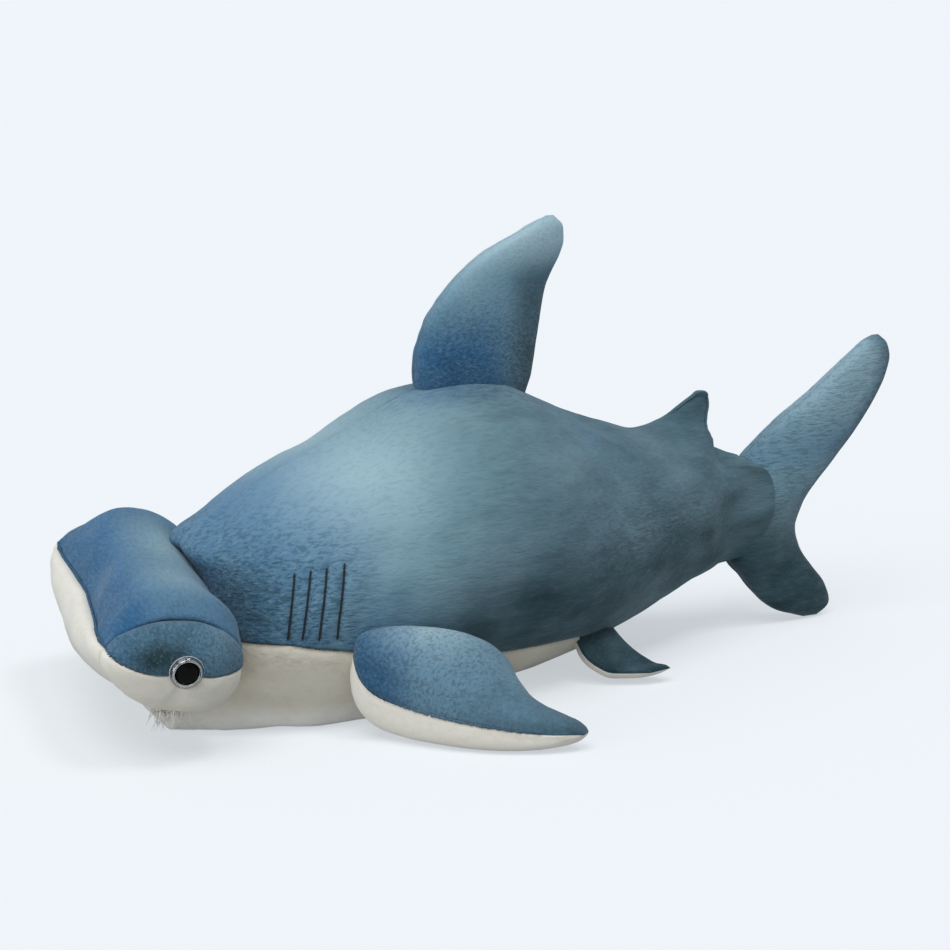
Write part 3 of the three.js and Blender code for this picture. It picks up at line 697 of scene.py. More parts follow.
def gill_pull(grid):
    push = np.zeros(grid.shape[:2])
    for line in GILLS:
        for a, b in zip(line[:-1], line[1:]):
            leg = b - a
            t = np.clip(((grid[..., 1] - a[0]) * leg[0] + (grid[..., 2] - a[1]) * leg[1]) / (leg @ leg), 0, 1)
            away = np.hypot(grid[..., 1] - a[0] - t * leg[0], grid[..., 2] - a[1] - t * leg[1])
            push = np.minimum(push, -1.9 * np.exp(-((away / 2.4) ** 2)))
    return push


def blob(grid, centre, size):
    """1 at the centre of a soft patch, falling to 0 over `size` along each axis."""
    d = (grid - np.asarray(centre, float)) / np.asarray(size, float)
    return np.exp(-(d**2).sum(-1))


def body_tint(grid, n):
    x, y, z = np.abs(grid[..., 0]), grid[..., 1], grid[..., 2]
    # Darker low down and where the surface faces down: painted shade, carried in the dark channel together
    # with the darker rear.
    lower = smooth((118 - z) / 80) * 0.55 + smooth((60 - n[..., 2] * 100) / 130) * 0.45
    rear = smooth((y + 130) / 140)
    mirrored_x = np.stack([x, y, z], axis=-1)
    deep = 0.66 * smooth((-95 - y) / 75)
    # Deeper, darker blue at the pectoral fin's root and the tall fin's base: partly airbrushed dye, partly
    # painted shade where the fins meet the body.
    deep = np.maximum(deep, 0.55 * blob(mirrored_x, (98, -128, 60), (40, 40, 38)))
    deep = np.maximum(deep, 0.8 * blob(mirrored_x, (12, -22, 205), (22, 34, 13)))
    deep = np.maximum(deep, 0.35 * blob(mirrored_x, (30, 70, 175), (30, 40, 26)))
    rear = rear - 0.25 * smooth((y - 60) / 80) * smooth((90 - z) / 50)
    dark = np.clip(lower * (0.45 + 0.34 * rear) + 0.46 * rear, 0, 0.88)
    dark = dark + 0.16 * smooth((y - 60) / 70) * smooth((z - 70) / 40)
    # A dark patch on each side just behind the hammer, where its back meets the body: painted shade.
    dark = np.maximum(dark, 0.65 * blob(mirrored_x, (80, -205, 88), (46, 26, 36)))
    # A paler patch on the upper back, strongest where the surface faces up: partly paler pile, partly painted
    # light from above.
    pale = 0.62 * blob(mirrored_x, (50, -112, 168), (60, 60, 40)) * smooth((n[..., 2] + 0.1) / 0.7)
    pale = np.maximum(pale, 0.3 * blob(mirrored_x, (50, -150, 140), (30, 26, 30)))
    ruffled = 0.22 + 0.85 * smooth((-105 - y) / 55) * smooth((165 - z) / 60) + 0.8 * blob(
        mirrored_x, (12, -10, 205), (26, 45, 14)
    )
    ruffled = ruffled + 0.45 * blob(mirrored_x, (85, 120, 105), (60, 70, 26))
    return np.stack([deep, dark, pale, ruffled], axis=-1)


def belly_tint(grid):
    y, z = grid[..., 1], grid[..., 2]
    deep = 0.45 + 0.2 * smooth((30 - z) / 30)
    dark = 0.25 * smooth((z - 30) / 30) + 0.4 * smooth(y / 60)
    pale = 0.8 * smooth((26 - z) / 20) * smooth((-60 - y) / 80)
    return np.stack([deep, dark, pale, 0.3 + 0.5 * smooth((z - 40) / 20)], axis=-1)


# The second dorsal fin is drawn out of the side panels along the back ridge: where each row of the
# ridge goes, along and up.
SECOND_ALONG = profile(
    (118, 118), (128, 128), (150, 149), (165, 164), (176, 175), (183, 182), (187, 187.5), (190, 191.5),
    (193, 190), (196, 185), (198.5, 182.5), (201.5, 184), (204.5, 191), (209, 202), (215, 213),
    (222, 222),
)
SECOND_UP = profile(
    (118, 167), (128, 165), (150, 170), (165, 178.5), (176, 185), (183, 188.6), (187, 188), (190, 184),
    (193, 177), (196, 168), (198.5, 161.5), (201.5, 155.5), (204.5, 149), (209, 143), (215, 138.5),
    (222, 135.5),
)
SECOND_BACK = profile(
    (138.5, 214), (143, 203), (149, 192), (155.5, 185), (161.5, 183), (168, 185), (177, 190), (184, 192),
    (190, 189),
)
SECOND_REACH = profile((150, 24), (174, 21), (186, 14), (194, 9.5), (206, 9))


def second_dorsal(grid, y_rows):
    """Pulls the fabric next to the ridge up into the small fin, which leans towards the tail."""
    out = grid.copy()
    run = edge_distances(grid)[2]
    inside = smooth((y_rows - 112) / 14)[:, None]
    height = inside * np.maximum(SECOND_UP(y_rows) - BODY_TOP(y_rows), 0)[:, None]
    along = inside * (SECOND_ALONG(y_rows) - y_rows)[:, None]
    reach = SECOND_REACH(y_rows)[:, None]
    wall = 0.72 * np.maximum(0, 1 - (run / reach)) ** 1.5 + 0.28 * np.exp(-((run / reach) ** 2))
    rise = height * wall
    out[..., 2] += rise
    out[..., 1] += along * np.exp(-((run / (1.2 * reach)) ** 2))
    # The wall stands a little away from the middle plane, so the crest isn't a knife edge.
    thick = 1.6 * smooth(rise / 14) * (1 - np.exp(-run / 2.5))
    # Its back edge is hollow: nothing stands further back than this at its height.
    back = SECOND_BACK(out[..., 2]) + 0.5 * run
    tucked = smooth((y_rows - 180) / 6)[:, None] * smooth(rise / 3)
    out[..., 1] += tucked * (np.minimum(out[..., 1], back) - out[..., 1])
    out[..., 0] = np.where(height > 6, out[..., 0] * (1 - 0.35 * smooth(rise / 30)) + thick, out[..., 0])
    return out


side = second_dorsal(side, fine_y)


def close_front(grid):
    """Adds rows that close the front of the body behind and under the head, as a low dome."""
    ring = grid[0]
    rows = []
    for t in np.linspace(0, 1, 17)[:-1]:
        row = ring * (t, 1, t) + (0, 0, 45 * (1 - t))
        row[:, 1] = np.maximum(neck_y(row[:, 0], row[:, 2]), BODY_FRONT) - 5 * math.sqrt(1 - t**2)
        rows.append(row)
    rows = np.array(rows)
    rows[:, :, 2] = np.maximum(rows[:, :, 2], 0.3)
    return np.concatenate([rows, grid])


side = close_front(side)
belly = close_front(belly)

outer, n = dressed(
    side, INSIDE_BODY, (0, 1.7, 0.4, 1.9), (0, 0.8, 0.1, 0.35), 0.7, 0.16, 3, gill_pull(side), floor=True
)
SIDE_OUTER, SIDE_NORMALS = outer, n
tint = body_tint(outer, n)
on_belly = slice(18, 16 + int((fine_y < 90).sum()))
keep_edge("belly_seam", outer[on_belly], n[on_belly], tint[on_belly], -1, 2.6, 700, blue_body)
body_left = skin_piece("side_skin_left", outer, n, blue_body, tint)
outer_r, n_r = dressed(
    mirror(side), INSIDE_BODY, (0, 1.7, 0.4, 1.9), (0, 0.8, 0.1, 0.35), 0.7, 0.16, 43,
    gill_pull(side), floor=True,
)
body_right = skin_piece("side_skin_right", outer_r, n_r, blue_body, body_tint(outer_r, n_r))
outer, n = dressed(belly, INSIDE_BODY, (0, 0, 1.9, 1.9), (0, 0, 0.5, 0.5), 0.7, 0.05, 5, floor=True)
body_belly = skin_piece("belly_skin", outer, n, cream, belly_tint(outer))

# ---------------------------------------------------------------- head

HEAD_CENTRE = np.array([0, -250, 90.0])
HEAD_TURN, HEAD_TILT = math.radians(-7.5), math.radians(5)
HEAD_MATRIX = np.array(Matrix.Rotation(HEAD_TURN, 3, "Z") @ Matrix.Rotation(HEAD_TILT, 3, "Y"))


def head_place(points):
    return points @ HEAD_MATRIX.T + HEAD_CENTRE


CAP_X, POLE_X = 97.0, 121.5
POLE = np.array([6.0, -13.5])
# Sections of the hammer at |x|, as (y, z): the blue top from back seam to front seam, then the cream.
STATIONS = (0, 45, 78, 97)
TOP_SECTIONS = (
    [(45, -22), (46, -8), (40, 6), (28, 18), (12, 27), (-6, 30), (-21, 22), (-31, 11), (-37, -1)],
    [(45, -22), (46, -8), (41, 6), (29, 18), (12, 28), (-6, 31), (-22, 23), (-32, 12), (-39, -1)],
    [(48, -21), (50, -8), (46, 6), (34, 18), (16, 27), (-6, 29), (-24, 21), (-35, 10), (-42, 0)],
    [(49, -19), (49, -9), (42, 1), (32, 8), (17, 14), (-3, 16), (-20, 13), (-33, 8), (-42, 1)],
)
UNDER_SECTIONS = (
    [(-37, -1), (-43, 1), (-49, -4), (-53, -14), (-52, -26), (-46, -38), (-34, -48), (-14, -53),
     (12, -54), (31, -50), (43, -39), (45, -22)],
    [(-39, -1), (-45, 1), (-50, -4), (-53, -12), (-50, -22), (-43, -32), (-31, -43), (-13, -52),
     (12, -54), (31, -50), (43, -39), (45, -22)],
    [(-42, 0), (-46, 1), (-49, -3), (-49.5, -10), (-46, -19), (-39, -28), (-30, -37), (-12, -48),
     (13, -52), (33, -48), (45, -36), (48, -21)],
    [(-42, 1), (-44, 0), (-45.5, -4), (-45.5, -10), (-41, -19), (-34, -28), (-25, -36), (-10, -44),
     (12, -48), (31, -46), (44, -35), (49, -19)],
)


def head_section(sections, x, count):
    stacked = np.array([spline(s, count) for s in sections])
    return np.stack(
        [
            [profile(*zip(STATIONS, stacked[:, j, k]))(np.abs(x)) for j in range(count)]
            for k in range(2)
        ],
        axis=-1,
    ).transpose(1, 0, 2)


def head_panel(sections, count, step=4.0):
    x = np.linspace(-CAP_X, CAP_X, int(2 * CAP_X / step) + 1)
    yz = head_section(sections, x, count)
    return np.concatenate([np.repeat(x[:, None, None], count, axis=1), yz], axis=2)


def polar_edge(angles):
    """The end section's distance from the pole, at angles in the (y, z) plane."""
    ring = np.vstack([spline(TOP_SECTIONS[-1], 120), spline(UNDER_SECTIONS[-1], 160)[1:-1]])
    ring = ring - POLE
    a = np.arctan2(ring[:, 1], ring[:, 0])
    order = np.argsort(a)
    a, r = a[order], np.hypot(*ring.T)[order]
    return np.interp(np.mod(angles + math.pi, TAU) - math.pi, a, r, period=TAU)


CAP_ROWS = 1 - np.linspace(0, 0.985, 15) ** 1.15
FRONT_EDGE = profile((0, 3.28), (0.35, 3.14), (0.6, 3.02), (0.8, 2.93), (1, math.atan2(14.5, -48)))
BACK_EDGE = profile((0, -0.24), (0.3, -0.30), (0.6, -0.22), (1, math.atan2(-5.5, 43)))


def cap_half(upper, count):
    """Half of an end cap, from the ring at the seam to the pole behind the eye."""
    r = CAP_ROWS
    first, last = BACK_EDGE(r), FRONT_EDGE(r)
    if not upper:
        first, last = last, first + TAU
    t = np.linspace(0, 1, count)
    angle = first[:, None] + (last - first)[:, None] * t
    reach = polar_edge(angle) * r[:, None]
    x = CAP_X + (POLE_X - CAP_X) * np.maximum(0, 1 - r**2.1) ** (1 / 2.1)
    return np.stack(
        [
            np.repeat(x[:, None], count, axis=1),
            POLE[0] + reach * np.cos(angle),
            POLE[1] + reach * np.sin(angle),
        ],
        axis=-1,
    )


top = head_panel(TOP_SECTIONS, 34)
under = head_panel(UNDER_SECTIONS, 40)
cap_up, cap_low = cap_half(True, 40), cap_half(False, 48)
top, under = sewn([top, under], pressure=3.0, cap=3.5, grow=0.01)
cap_up, cap_low = sewn([cap_up, cap_low], pressure=2.0, cap=2.5, grow=0.01)
INSIDE_HEAD = np.array([0, -4, -12.0])
INSIDE_CAP = np.array([80, 6, -15.0])
EYE = np.array([118.2, 7.0, -12.0])
EYE_RIM, PUPIL_R = 11.4, 8.4


def fine(grid, rows, columns):
    return resample(grid, np.linspace(0, grid.shape[0] - 1, rows), np.linspace(0, grid.shape[1] - 1, columns))


def head_tint(grid):
    y, z = grid[..., 1], grid[..., 2]
    deep = 0.66 + 0.4 * smooth((-2 - y) / 26) + 0.2 * blob(grid, (-70, -10, 20), (30, 30, 30))
    deep = deep - 0.45 * blob(grid, (-8, 18, 30), (46, 20, 22)) - 0.3 * blob(grid, (60, 14, 26), (22, 22, 20))
    dark = 0.15 + 0.30 * smooth((0 - z) / 26) + 0.25 * smooth((y - 30) / 22) + 0.12 * smooth((-10 - y) / 25)
    pale = 0.35 * blob(grid, (-8, 20, 30), (46, 20, 22)) + 0.30 * blob(grid, (62, 14, 26), (22, 22, 20))
    return np.stack([deep, dark, pale, 0.45 + 0.2 * smooth((-y) / 40)], axis=-1)


def cap_tint(grid):
    eye = blob(grid, (110, -10, -3), (40, 15, 10))
    deep = 0.50 + 0.2 * smooth((-10 - grid[..., 1]) / 25)
    dark = 0.36 + 0.8 * eye + 0.2 * smooth((grid[..., 1] - 25) / 20)
    pale = 0.10 * blob(grid, (105, 30, 0), (20, 12, 16))
    return np.stack([deep, dark, pale, 0 * pale + 0.85], axis=-1)


def head_cream_tint(grid):
    y, z = grid[..., 1], grid[..., 2]
    deep = 0.1 + 0.35 * smooth((-24 - z) / 20)
    dark = 0.10 * smooth((y - 10) / 40)
    pale = 0.25 * smooth((-20 - y) / 30) * smooth((z + 40) / 30)
    return np.stack([deep, dark, pale, 0 * pale + 0.3], axis=-1)


top_fine, under_fine = fine(top, 96, 60), fine(under, 96, 74)
outer, n = dressed(top_fine, INSIDE_HEAD, (0.9, 0.9, 1.6, 0.4), (0.6, 0.6, 0.3, 0.8), 0.8, 0.15, 60)
tint = head_tint(outer)
head_top = skin_piece("head_top_skin", head_place(outer), n @ HEAD_MATRIX.T, blue_head, tint)
keep_edge("front_seam", outer, n, tint, -1, 4.2, 700, blue_head, 1, HEAD_MATRIX, HEAD_CENTRE)
outer, n = dressed(under_fine, INSIDE_HEAD, (0.9, 0.9, 0.5, 1.6), (0.4, 0.4, 0.2, 0.3), 0.7, 0.05, 61)
tint = head_cream_tint(outer)
head_under = skin_piece("head_under_skin", head_place(outer), n @ HEAD_MATRIX.T, cream, tint)

cap_pieces = {}
for which, grid, look, painter, wave in (
    ("upper", cap_up, blue_head, cap_tint, 0.7),
    ("lower", cap_low, cream, head_cream_tint, 0.4),
):
    grid = fine(grid, 34, 84)
    for side_name, sign, seed in (("left", 1, 70), ("right", -1, 90)):
        dip = -2.0 * np.exp(-((np.hypot(grid[..., 1] - EYE[1], grid[..., 2] - EYE[2]) / 12.5) ** 4))
        outer, n = dressed(grid, INSIDE_CAP, (0.9, 0, 1.0, 1.0), (wave, 0, 0.25, 0.25), 0.4, 0.12, seed, dip)
        tint = painter(outer)
        flip = (sign, 1, 1)
        if which == "upper":
            for column in (0, -1):
                keep_edge(
                    f"cap_{side_name}_{-column}", outer[:24] * flip, n[:24] * flip, tint[:24], column,
                    2.2, 110, blue_head, 1, HEAD_MATRIX, HEAD_CENTRE,
                )
        cap_pieces[which, side_name] = skin_piece(
            f"head_cap_{which}_{side_name}", head_place(outer * flip), (n * flip) @ HEAD_MATRIX.T, look, tint
        )

# ---------------------------------------------------------------- eyes


def lathe(pairs, segments=72):
    """Points and faces of a round piece along +X from (radius, height) pairs; radius 0 closes it."""
    angles = np.linspace(0, TAU, segments, endpoint=False)
    points = [
        np.stack([np.full(segments, h), r * np.cos(angles), r * np.sin(angles)], axis=1) for r, h in pairs
    ]
    return np.vstack(points), ring_faces(len(pairs), segments)


def lathe_object(name, pairs, look, sign):
    pairs = [(max(r, 1e-5), h) for r, h in pairs]
    points, faces = lathe(pairs)
    points = head_place((points + EYE) * (sign, 1, 1))
    made = mesh_object(name, points, faces, look)
    clean_mesh(made.data, 2e-5)
    made.data.polygons.foreach_set("use_smooth", [True] * len(made.data.polygons))
    return made


SEAT = 3.2
arc = np.linspace(0, math.pi / 2, 13)
RING_IN, DOME_R = PUPIL_R + 0.2, 12.2  # the clear dome's rim shows round the pupil
zone = np.linspace(EYE_RIM, RING_IN, 10)
DOME = [(RING_IN, SEAT - 0.4), (EYE_RIM - 0.5, SEAT - 0.4), (EYE_RIM, SEAT)]
rim_rise = math.sqrt(DOME_R**2 - EYE_RIM**2)
DOME += [(r, SEAT + 0.5 + 0.8 * (math.sqrt(DOME_R**2 - r**2) - rim_rise)) for r in zone]
DOME += [(RING_IN, SEAT - 0.4)]
PUPIL = [(0, SEAT - 15), (2.2, SEAT - 15), (2.2, SEAT - 0.6), (PUPIL_R, SEAT - 0.6)]
PUPIL += [(PUPIL_R * math.cos(a) if a < 1.57 else 0, SEAT + 0.9 + 3.6 * math.sin(a)) for a in arc]
WASHER = [(2.6, SEAT - 9.2), (8, SEAT - 9.2), (8, SEAT - 7.7), (2.6, SEAT - 7.7), (2.6, SEAT - 9.2)]
eyes = {}
for side_name, sign in (("left", 1), ("right", -1)):
    eyes["dome", side_name] = lathe_object(f"eye_lens_{side_name}", DOME, clear, sign)
    eyes["pupil", side_name] = lathe_object(f"eye_pupil_disc_{side_name}", PUPIL, pupil_black, sign)
    eyes["washer", side_name] = lathe_object(f"eye_lock_washer_{side_name}", WASHER, washer_white, sign)

# ---------------------------------------------------------------- fins


def fin_half(section, spans, count, sign):
    """One panel of a stuffed fin: rows from root to tip, columns from trailing to leading seam."""
    angle = np.linspace(0, math.pi, count)
    rows = []
    for t in spans:
        lead, trail, half, low, side_way, crown, taper, fullness = section(t)
        chord = trail - lead
        length = np.linalg.norm(chord)
        chord = chord / length
        thick = half if sign > 0 else low
        along = np.cos(angle)
        across = rounded(along, BLUNT)
        row = (lead + trail) / 2 + chord * (length / 2) * along[:, None]
        if sign < 0:
            # The cream side is full ahead of the leading seam, and shows beyond it.
            bulge = fullness * np.sqrt(np.sin(angle)) * np.exp(-(((1 + along) / 0.5) ** 2))
            row = row - chord * bulge[:, None]
        row[:, 2] += crown * (1 - along**2)
        row = row + side_way * (sign * thick * (1 - taper * (along + 1) / 2) * across)[:, None]
        rows.append(row)
    return np.array(rows)


def spans_for(low, high, step):
    """Even spans that crowd together towards the tip."""
    count = int((high - low) / step)
    t = np.linspace(0, 1, count)
    return low + (high - low) * (t + 0.10 * np.sin(math.pi * t) * t)


DORSAL_LEAD = profile(
    (205, -44), (215, -47), (221, -47), (233, -46), (246, -42), (259, -37), (280, -21), (300, 2),
    (311, 23), (319, 41), (323, 49), (326, 55),
)
DORSAL_TRAIL = profile(
    (205, 38), (215, 40), (221, 43), (250, 49), (275, 54.5), (287, 60), (298, 66), (308, 69),
    (318, 68.5), (326, 61),
)
DORSAL_HALF = profile(
    (205, 14), (215, 15), (228, 16), (250, 15), (290, 12), (312, 9.5), (320, 7), (324, 4), (326, 0),
)


def dorsal_section(z):
    level = max(0.0, 1 - (z - 215) / 60)

    def point(y):
        return np.array([0, y, z - level * 0.15 * (y + 46)])

    half = float(DORSAL_HALF(z))
    return point(float(DORSAL_LEAD(z))), point(float(DORSAL_TRAIL(z))), half, half, np.array([1.0, 0, 0]), (
        min(level, 1.0) * 5
    ), 0.35, 0.0


PECTORAL_LEAD_Y = profile(
    (96, -132), (104, -138), (109, -137), (118, -129), (132, -115), (145, -103), (160, -87), (175, -67),
    (186, -46), (192, -30), (195, -18),
)
PECTORAL_TRAIL_Y = profile(
    (96, -40), (104, -36), (112, -31), (125, -29), (140, -31), (155, -30), (168, -24), (180, -13),
    (188, -7), (193, -7), (195, -12),
)
PECTORAL_LEAD_Z = profile(
    (96, 60), (104, 55), (109, 45), (118, 33), (132, 27), (145, 24), (160, 21), (175, 18), (186, 15),
    (195, 13),
)
PECTORAL_TRAIL_Z = profile((96, 40), (104, 37), (126, 30), (150, 24), (170, 18), (185, 14), (195, 12))
PECTORAL_UP = profile(
    (96, 18), (102, 26), (106, 35), (112, 46), (121, 51), (135, 44), (150, 34), (165, 24), (178, 16),
    (187, 12), (192, 8), (194, 5), (195, 0),
)
PECTORAL_DOWN = profile(
    (96, 20), (102, 28), (108, 34), (116, 36), (130, 33), (150, 28), (170, 22), (185, 15.5), (192, 9),
    (194, 5), (195, 0),
)
PECTORAL_SIDE = np.array([0.12, 0, 1.0]) / math.hypot(0.12, 1)


def pectoral_section(x):
    return (
        np.array([x, float(PECTORAL_LEAD_Y(x)), float(PECTORAL_LEAD_Z(x))]),
        np.array([x, float(PECTORAL_TRAIL_Y(x)), float(PECTORAL_TRAIL_Z(x))]),
        float(PECTORAL_UP(x)),
        float(PECTORAL_DOWN(x)),
        PECTORAL_SIDE,
        0.0,
        0.4,
        float(7.0 * smooth((x - 94) / 16) * smooth((195 - x) / 6)),
    )


def tail_section(z):
    half = float(TAIL_HALF(z))
    return (
        np.array([0, float(TAIL_LEAD(z)), z]),
        np.array([0, float(TAIL_TRAIL(z)), z]),
        half,
        half,
        np.array([1.0, 0, 0]),
        0.0,
        TAIL_TAPER,
        0.0,
    )


PELVIC_LEAD_Y = profile((56, 51), (60, 52), (66, 53), (80, 64), (88, 78), (94, 93))
PELVIC_TRAIL_Y = profile((56, 84), (60, 86), (66, 90), (80, 103), (88, 110), (94, 110))
PELVIC_Z = profile((56, 32), (60, 28), (66, 22), (76, 13.5), (84, 9.5), (94, 9.5))
PELVIC_HALF = profile((56, 3.6), (60, 4), (66, 4.6), (80, 4.6), (90, 4.0), (93, 2.4), (94, 0))


def pelvic_section(x):
    half = float(PELVIC_HALF(x))
    return (
        np.array([x, float(PELVIC_LEAD_Y(x)), float(PELVIC_Z(x))]),
        np.array([x, float(PELVIC_TRAIL_Y(x)), float(PELVIC_Z(x)) + 1.5]),
        half,
        1.7 * half,
        np.array([0.5, 0, 0.87]),
        0.0,
        0.3,
        float(3.0 * smooth((94 - x) / 5)),
    )


def fin_pair(section, low, high, step, columns, pressure, cap, grow=0.0):
    spans = spans_for(low, high, step)
    near = fin_half(section, spans, columns, 1)
    far = fin_half(section, spans, columns, -1)
    near, far = sewn([near, far], pressure, cap, grow=grow)
    rows, columns = int(near.shape[0] * 1.9), int(columns * 1.9)
    return fine(near, rows, columns), fine(far, rows, columns)


def fin_skin(name, pair, inside, look, painter, seed, rolls, pucker, lump=0.45, flip=1, floor=False):
    """One panel of a fin, from its own grid and its fellow's; its skin thins out where they meet."""
    grid, fellow = pair
    gap = np.linalg.norm(grid - fellow, axis=2)
    near_tip = np.clip(gap / 9, 0, 1)
    outer, n = dressed(grid, inside, rolls, pucker, lump, 0.12, seed, None, floor, near_tip)
    tint = painter(outer)
    thickness = np.clip(0.4 * gap, 0.05, 2.0)
    if name == "pectoral_top_skin_left":
        rows = slice(8, -4)
        keep_edge("pectoral_seam", outer[rows], n[rows], tint[rows], -1, 1.3, 300, look)
    return skin_piece(name, outer * (flip, 1, 1), n * (flip, 1, 1), look, tint, thickness)


def dorsal_tint(grid):
    y, z = grid[..., 1], grid[..., 2]
    low = smooth((285 - z) / 70)
    deep = 0.95 * low * smooth((40 - y) / 50) + 0.18
    dark = (0.60 * smooth((y - 14) / 26) + 0.02 + 0.25 * low) * (1 - 0.7 * smooth((z - 280) / 25))
    pale = 0.85 * smooth((z - 283) / 30) + 0.25 * blob(grid, (12, -8, 285), (20, 18, 16))
    return np.stack([deep, dark, pale, 0.25 + 0.6 * smooth((290 - z) / 60)], axis=-1)


def tail_tint(grid):
    y, z = grid[..., 1], grid[..., 2]
    # Much darker low down on the tail: painted shade, as on the body's lower side.
    low = smooth((125 - z) / 70)
    deep = 0.30 * smooth((z - 110) / 30)
    edge = smooth((y - (TAIL_TRAIL(z) - 22)) / 22)
    dark = 0.10 + 0.82 * low + 0.50 * edge * (1 - low)
    pale = 0.55 * smooth((z - 130) / 60) * (1 - edge)
    return np.stack([deep, np.clip(dark, 0, 0.96), pale, 0.25 + 0.3 * (1 - low)], axis=-1)


def pectoral_tint(grid):
    x, y = grid[..., 0], grid[..., 1]
    # Deeper and darker towards the front of the root: partly dye, partly painted shade where the fin meets
    # the body.
    root = smooth((146 - x) / 30) * smooth((-72 - y) / 40)
    deep = 0.30 + 0.70 * root + 0.3 * smooth((150 - x) / 60)
    dark = 0.12 + 0.35 * smooth((x - 145) / 35) + 0.25 * smooth((y + 45) / 30) + 0.2 * root
    pale = 0.85 * blob(grid, (118, -84, 74), (24, 34, 18))
    return np.stack([deep, dark, pale, 0.85 - 0.45 * smooth((x - 150) / 30)], axis=-1)


def pelvic_tint(grid):
    # Dark nearly all over: painted shade, as on the body's low side where these fins sit.
    deep = np.full(grid.shape[:2], 0.15)
    dark = 0.97 - 0.20 * blob(grid, (78, 84, 10), (16, 10, 10))
    return np.stack([deep, dark, 0 * deep, 0.3 + 0 * deep], axis=-1)


def fin_cream_tint(grid):
    z = grid[..., 2]
    # Darker just above the floor: painted shade where the fins' undersides come down to it.
    return np.stack([0.15 + 0 * z, 0.25 * smooth((8 - z) / 10), 0.2 + 0 * z, 0.3 + 0 * z], axis=-1)


def fin_rings(fin, stop):
    """Closed rings round a fin for its filling, up to the row `stop`."""
    near, far = FIN_GRIDS[fin]
    return [np.vstack([a, b[-2:0:-1]])[::2] for a, b in zip(near[8:stop:2], far[8:stop:2])]


skins = {}
FIN_GRIDS = {}
# Upright fins: their left and right panels are alike.
for fin, section, spread_of, inside, look, painter, seed, rolls, pucker, floor in (
    ("dorsal", dorsal_section, (205, 326, 4.0, 26, 3.0, 3.0), (0, 5, 250.0), blue_fin, dorsal_tint, 110,
     (1.6, 1.0, 1.4, 1.8), (0.3, 0, 0.4, 0.7), False),
    ("tail", tail_section, (1, 218, 4.0, 24, 3.0, 2.5), (0, 255, 100.0), blue_body, tail_tint, 120,
     (1.0, 1.0, 1.4, 1.4), (0, 0, 0.3, 0.3), True),
):
    near, far = FIN_GRIDS[fin] = fin_pair(section, *spread_of)
    for side_name, pair, own_seed in (("left", (near, far), seed), ("right", (far, near), seed + 1)):
        skins[fin, side_name] = fin_skin(
            f"{fin}_skin_{side_name}", pair, np.array(inside), look, painter, own_seed,
            rolls, pucker, floor=floor,
        )

# Paired fins: blue above and cream below, on both sides of the body.
for fin, section, spread_of, inside, painter, seed, rolls, puckers, lump in (
    ("pectoral", pectoral_section, (96, 195, 4.0, 34, 3.0, 3.0), (140, -65, 25.0), pectoral_tint, 130,
     (1.2, 0.8, 1.4, 1.8), ((0.4, 0, 0.4, 0.6), (0.3, 0, 0.3, 0.4)), 0.6),
    ("pelvic", pelvic_section, (56, 94, 2.5, 18, 1.0, 1.0), (75, 80, 13.0), pelvic_tint, 150,
     (0.4, 0.4, 0.6, 0.6), ((0, 0, 0.2, 0.2), (0, 0, 0.2, 0.2)), 0.3),
):
    near, far = FIN_GRIDS[fin] = fin_pair(section, *spread_of)
    for side_name, flip, own_seed in (("left", 1, seed), ("right", -1, seed + 10)):
        skins[f"{fin}_top", side_name] = fin_skin(
            f"{fin}_top_skin_{side_name}", (near, far), np.array(inside), blue_fin, painter, own_seed,
            rolls, puckers[0], lump, flip, True,
        )
        skins[f"{fin}_under", side_name] = fin_skin(
            f"{fin}_under_skin_{side_name}", (far, near), np.array(inside), cream, fin_cream_tint,
            own_seed + 1, rolls, puckers[1], lump, flip, True,
        )

# ---------------------------------------------------------------- threads


def tube(path, radius, twists, sides=10, tips=True):
    """A two-ply twisted thread along a path, as points and faces of a closed tube."""
    path = np.asarray(path, float)
    tangent = np.gradient(path, axis=0)
    tangent /= np.linalg.norm(tangent, axis=1, keepdims=True)
    up = np.array([0.3, 0.2, 1.0])
    first = np.cross(tangent, up)
    first /= np.linalg.norm(first, axis=1, keepdims=True)
    second = np.cross(tangent, first)
    angle = np.linspace(0, TAU, sides, endpoint=False)[None, :]
    turn = np.linspace(0, twists * TAU, len(path))[:, None]
    ply = radius * (0.80 + 0.22 * np.abs(np.cos(angle - turn)))
    if tips:
        end = np.minimum(np.arange(len(path)), np.arange(len(path))[::-1]) / 2.0
        ply = ply * np.clip(0.15 + end, 0, 1)[:, None]
    rings = (
        path[:, None]
        + first[:, None] * (ply * np.cos(angle))[..., None]
        + second[:, None] * (ply * np.sin(angle))[..., None]
    )
    rows = len(path)
    points = rings.reshape(-1, 3)
    faces = ring_faces(rows, sides).tolist()
    faces.append(list(range(sides))[::-1])
    faces.append([(rows - 1) * sides + k for k in range(sides)])
    return points, faces


def on_side(y, z, lift):
    """The point of the left side's finished surface at (y, z), lifted off it."""
    far_off = (SIDE_OUTER[..., 1] - y) ** 2 + (SIDE_OUTER[..., 2] - z) ** 2 + 1e6 * (SIDE_OUTER[..., 0] < 20)
    nearest = np.argsort(far_off.ravel())[:4]
    weight = 1 / (far_off.ravel()[nearest] + 0.05)
    weight /= weight.sum()
    p = (SIDE_OUTER.reshape(-1, 3)[nearest] * weight[:, None]).sum(0)
    n = (SIDE_NORMALS.reshape(-1, 3)[nearest] * weight[:, None]).sum(0)
    return np.array([p[0], y, z]) + n / np.linalg.norm(n) * lift


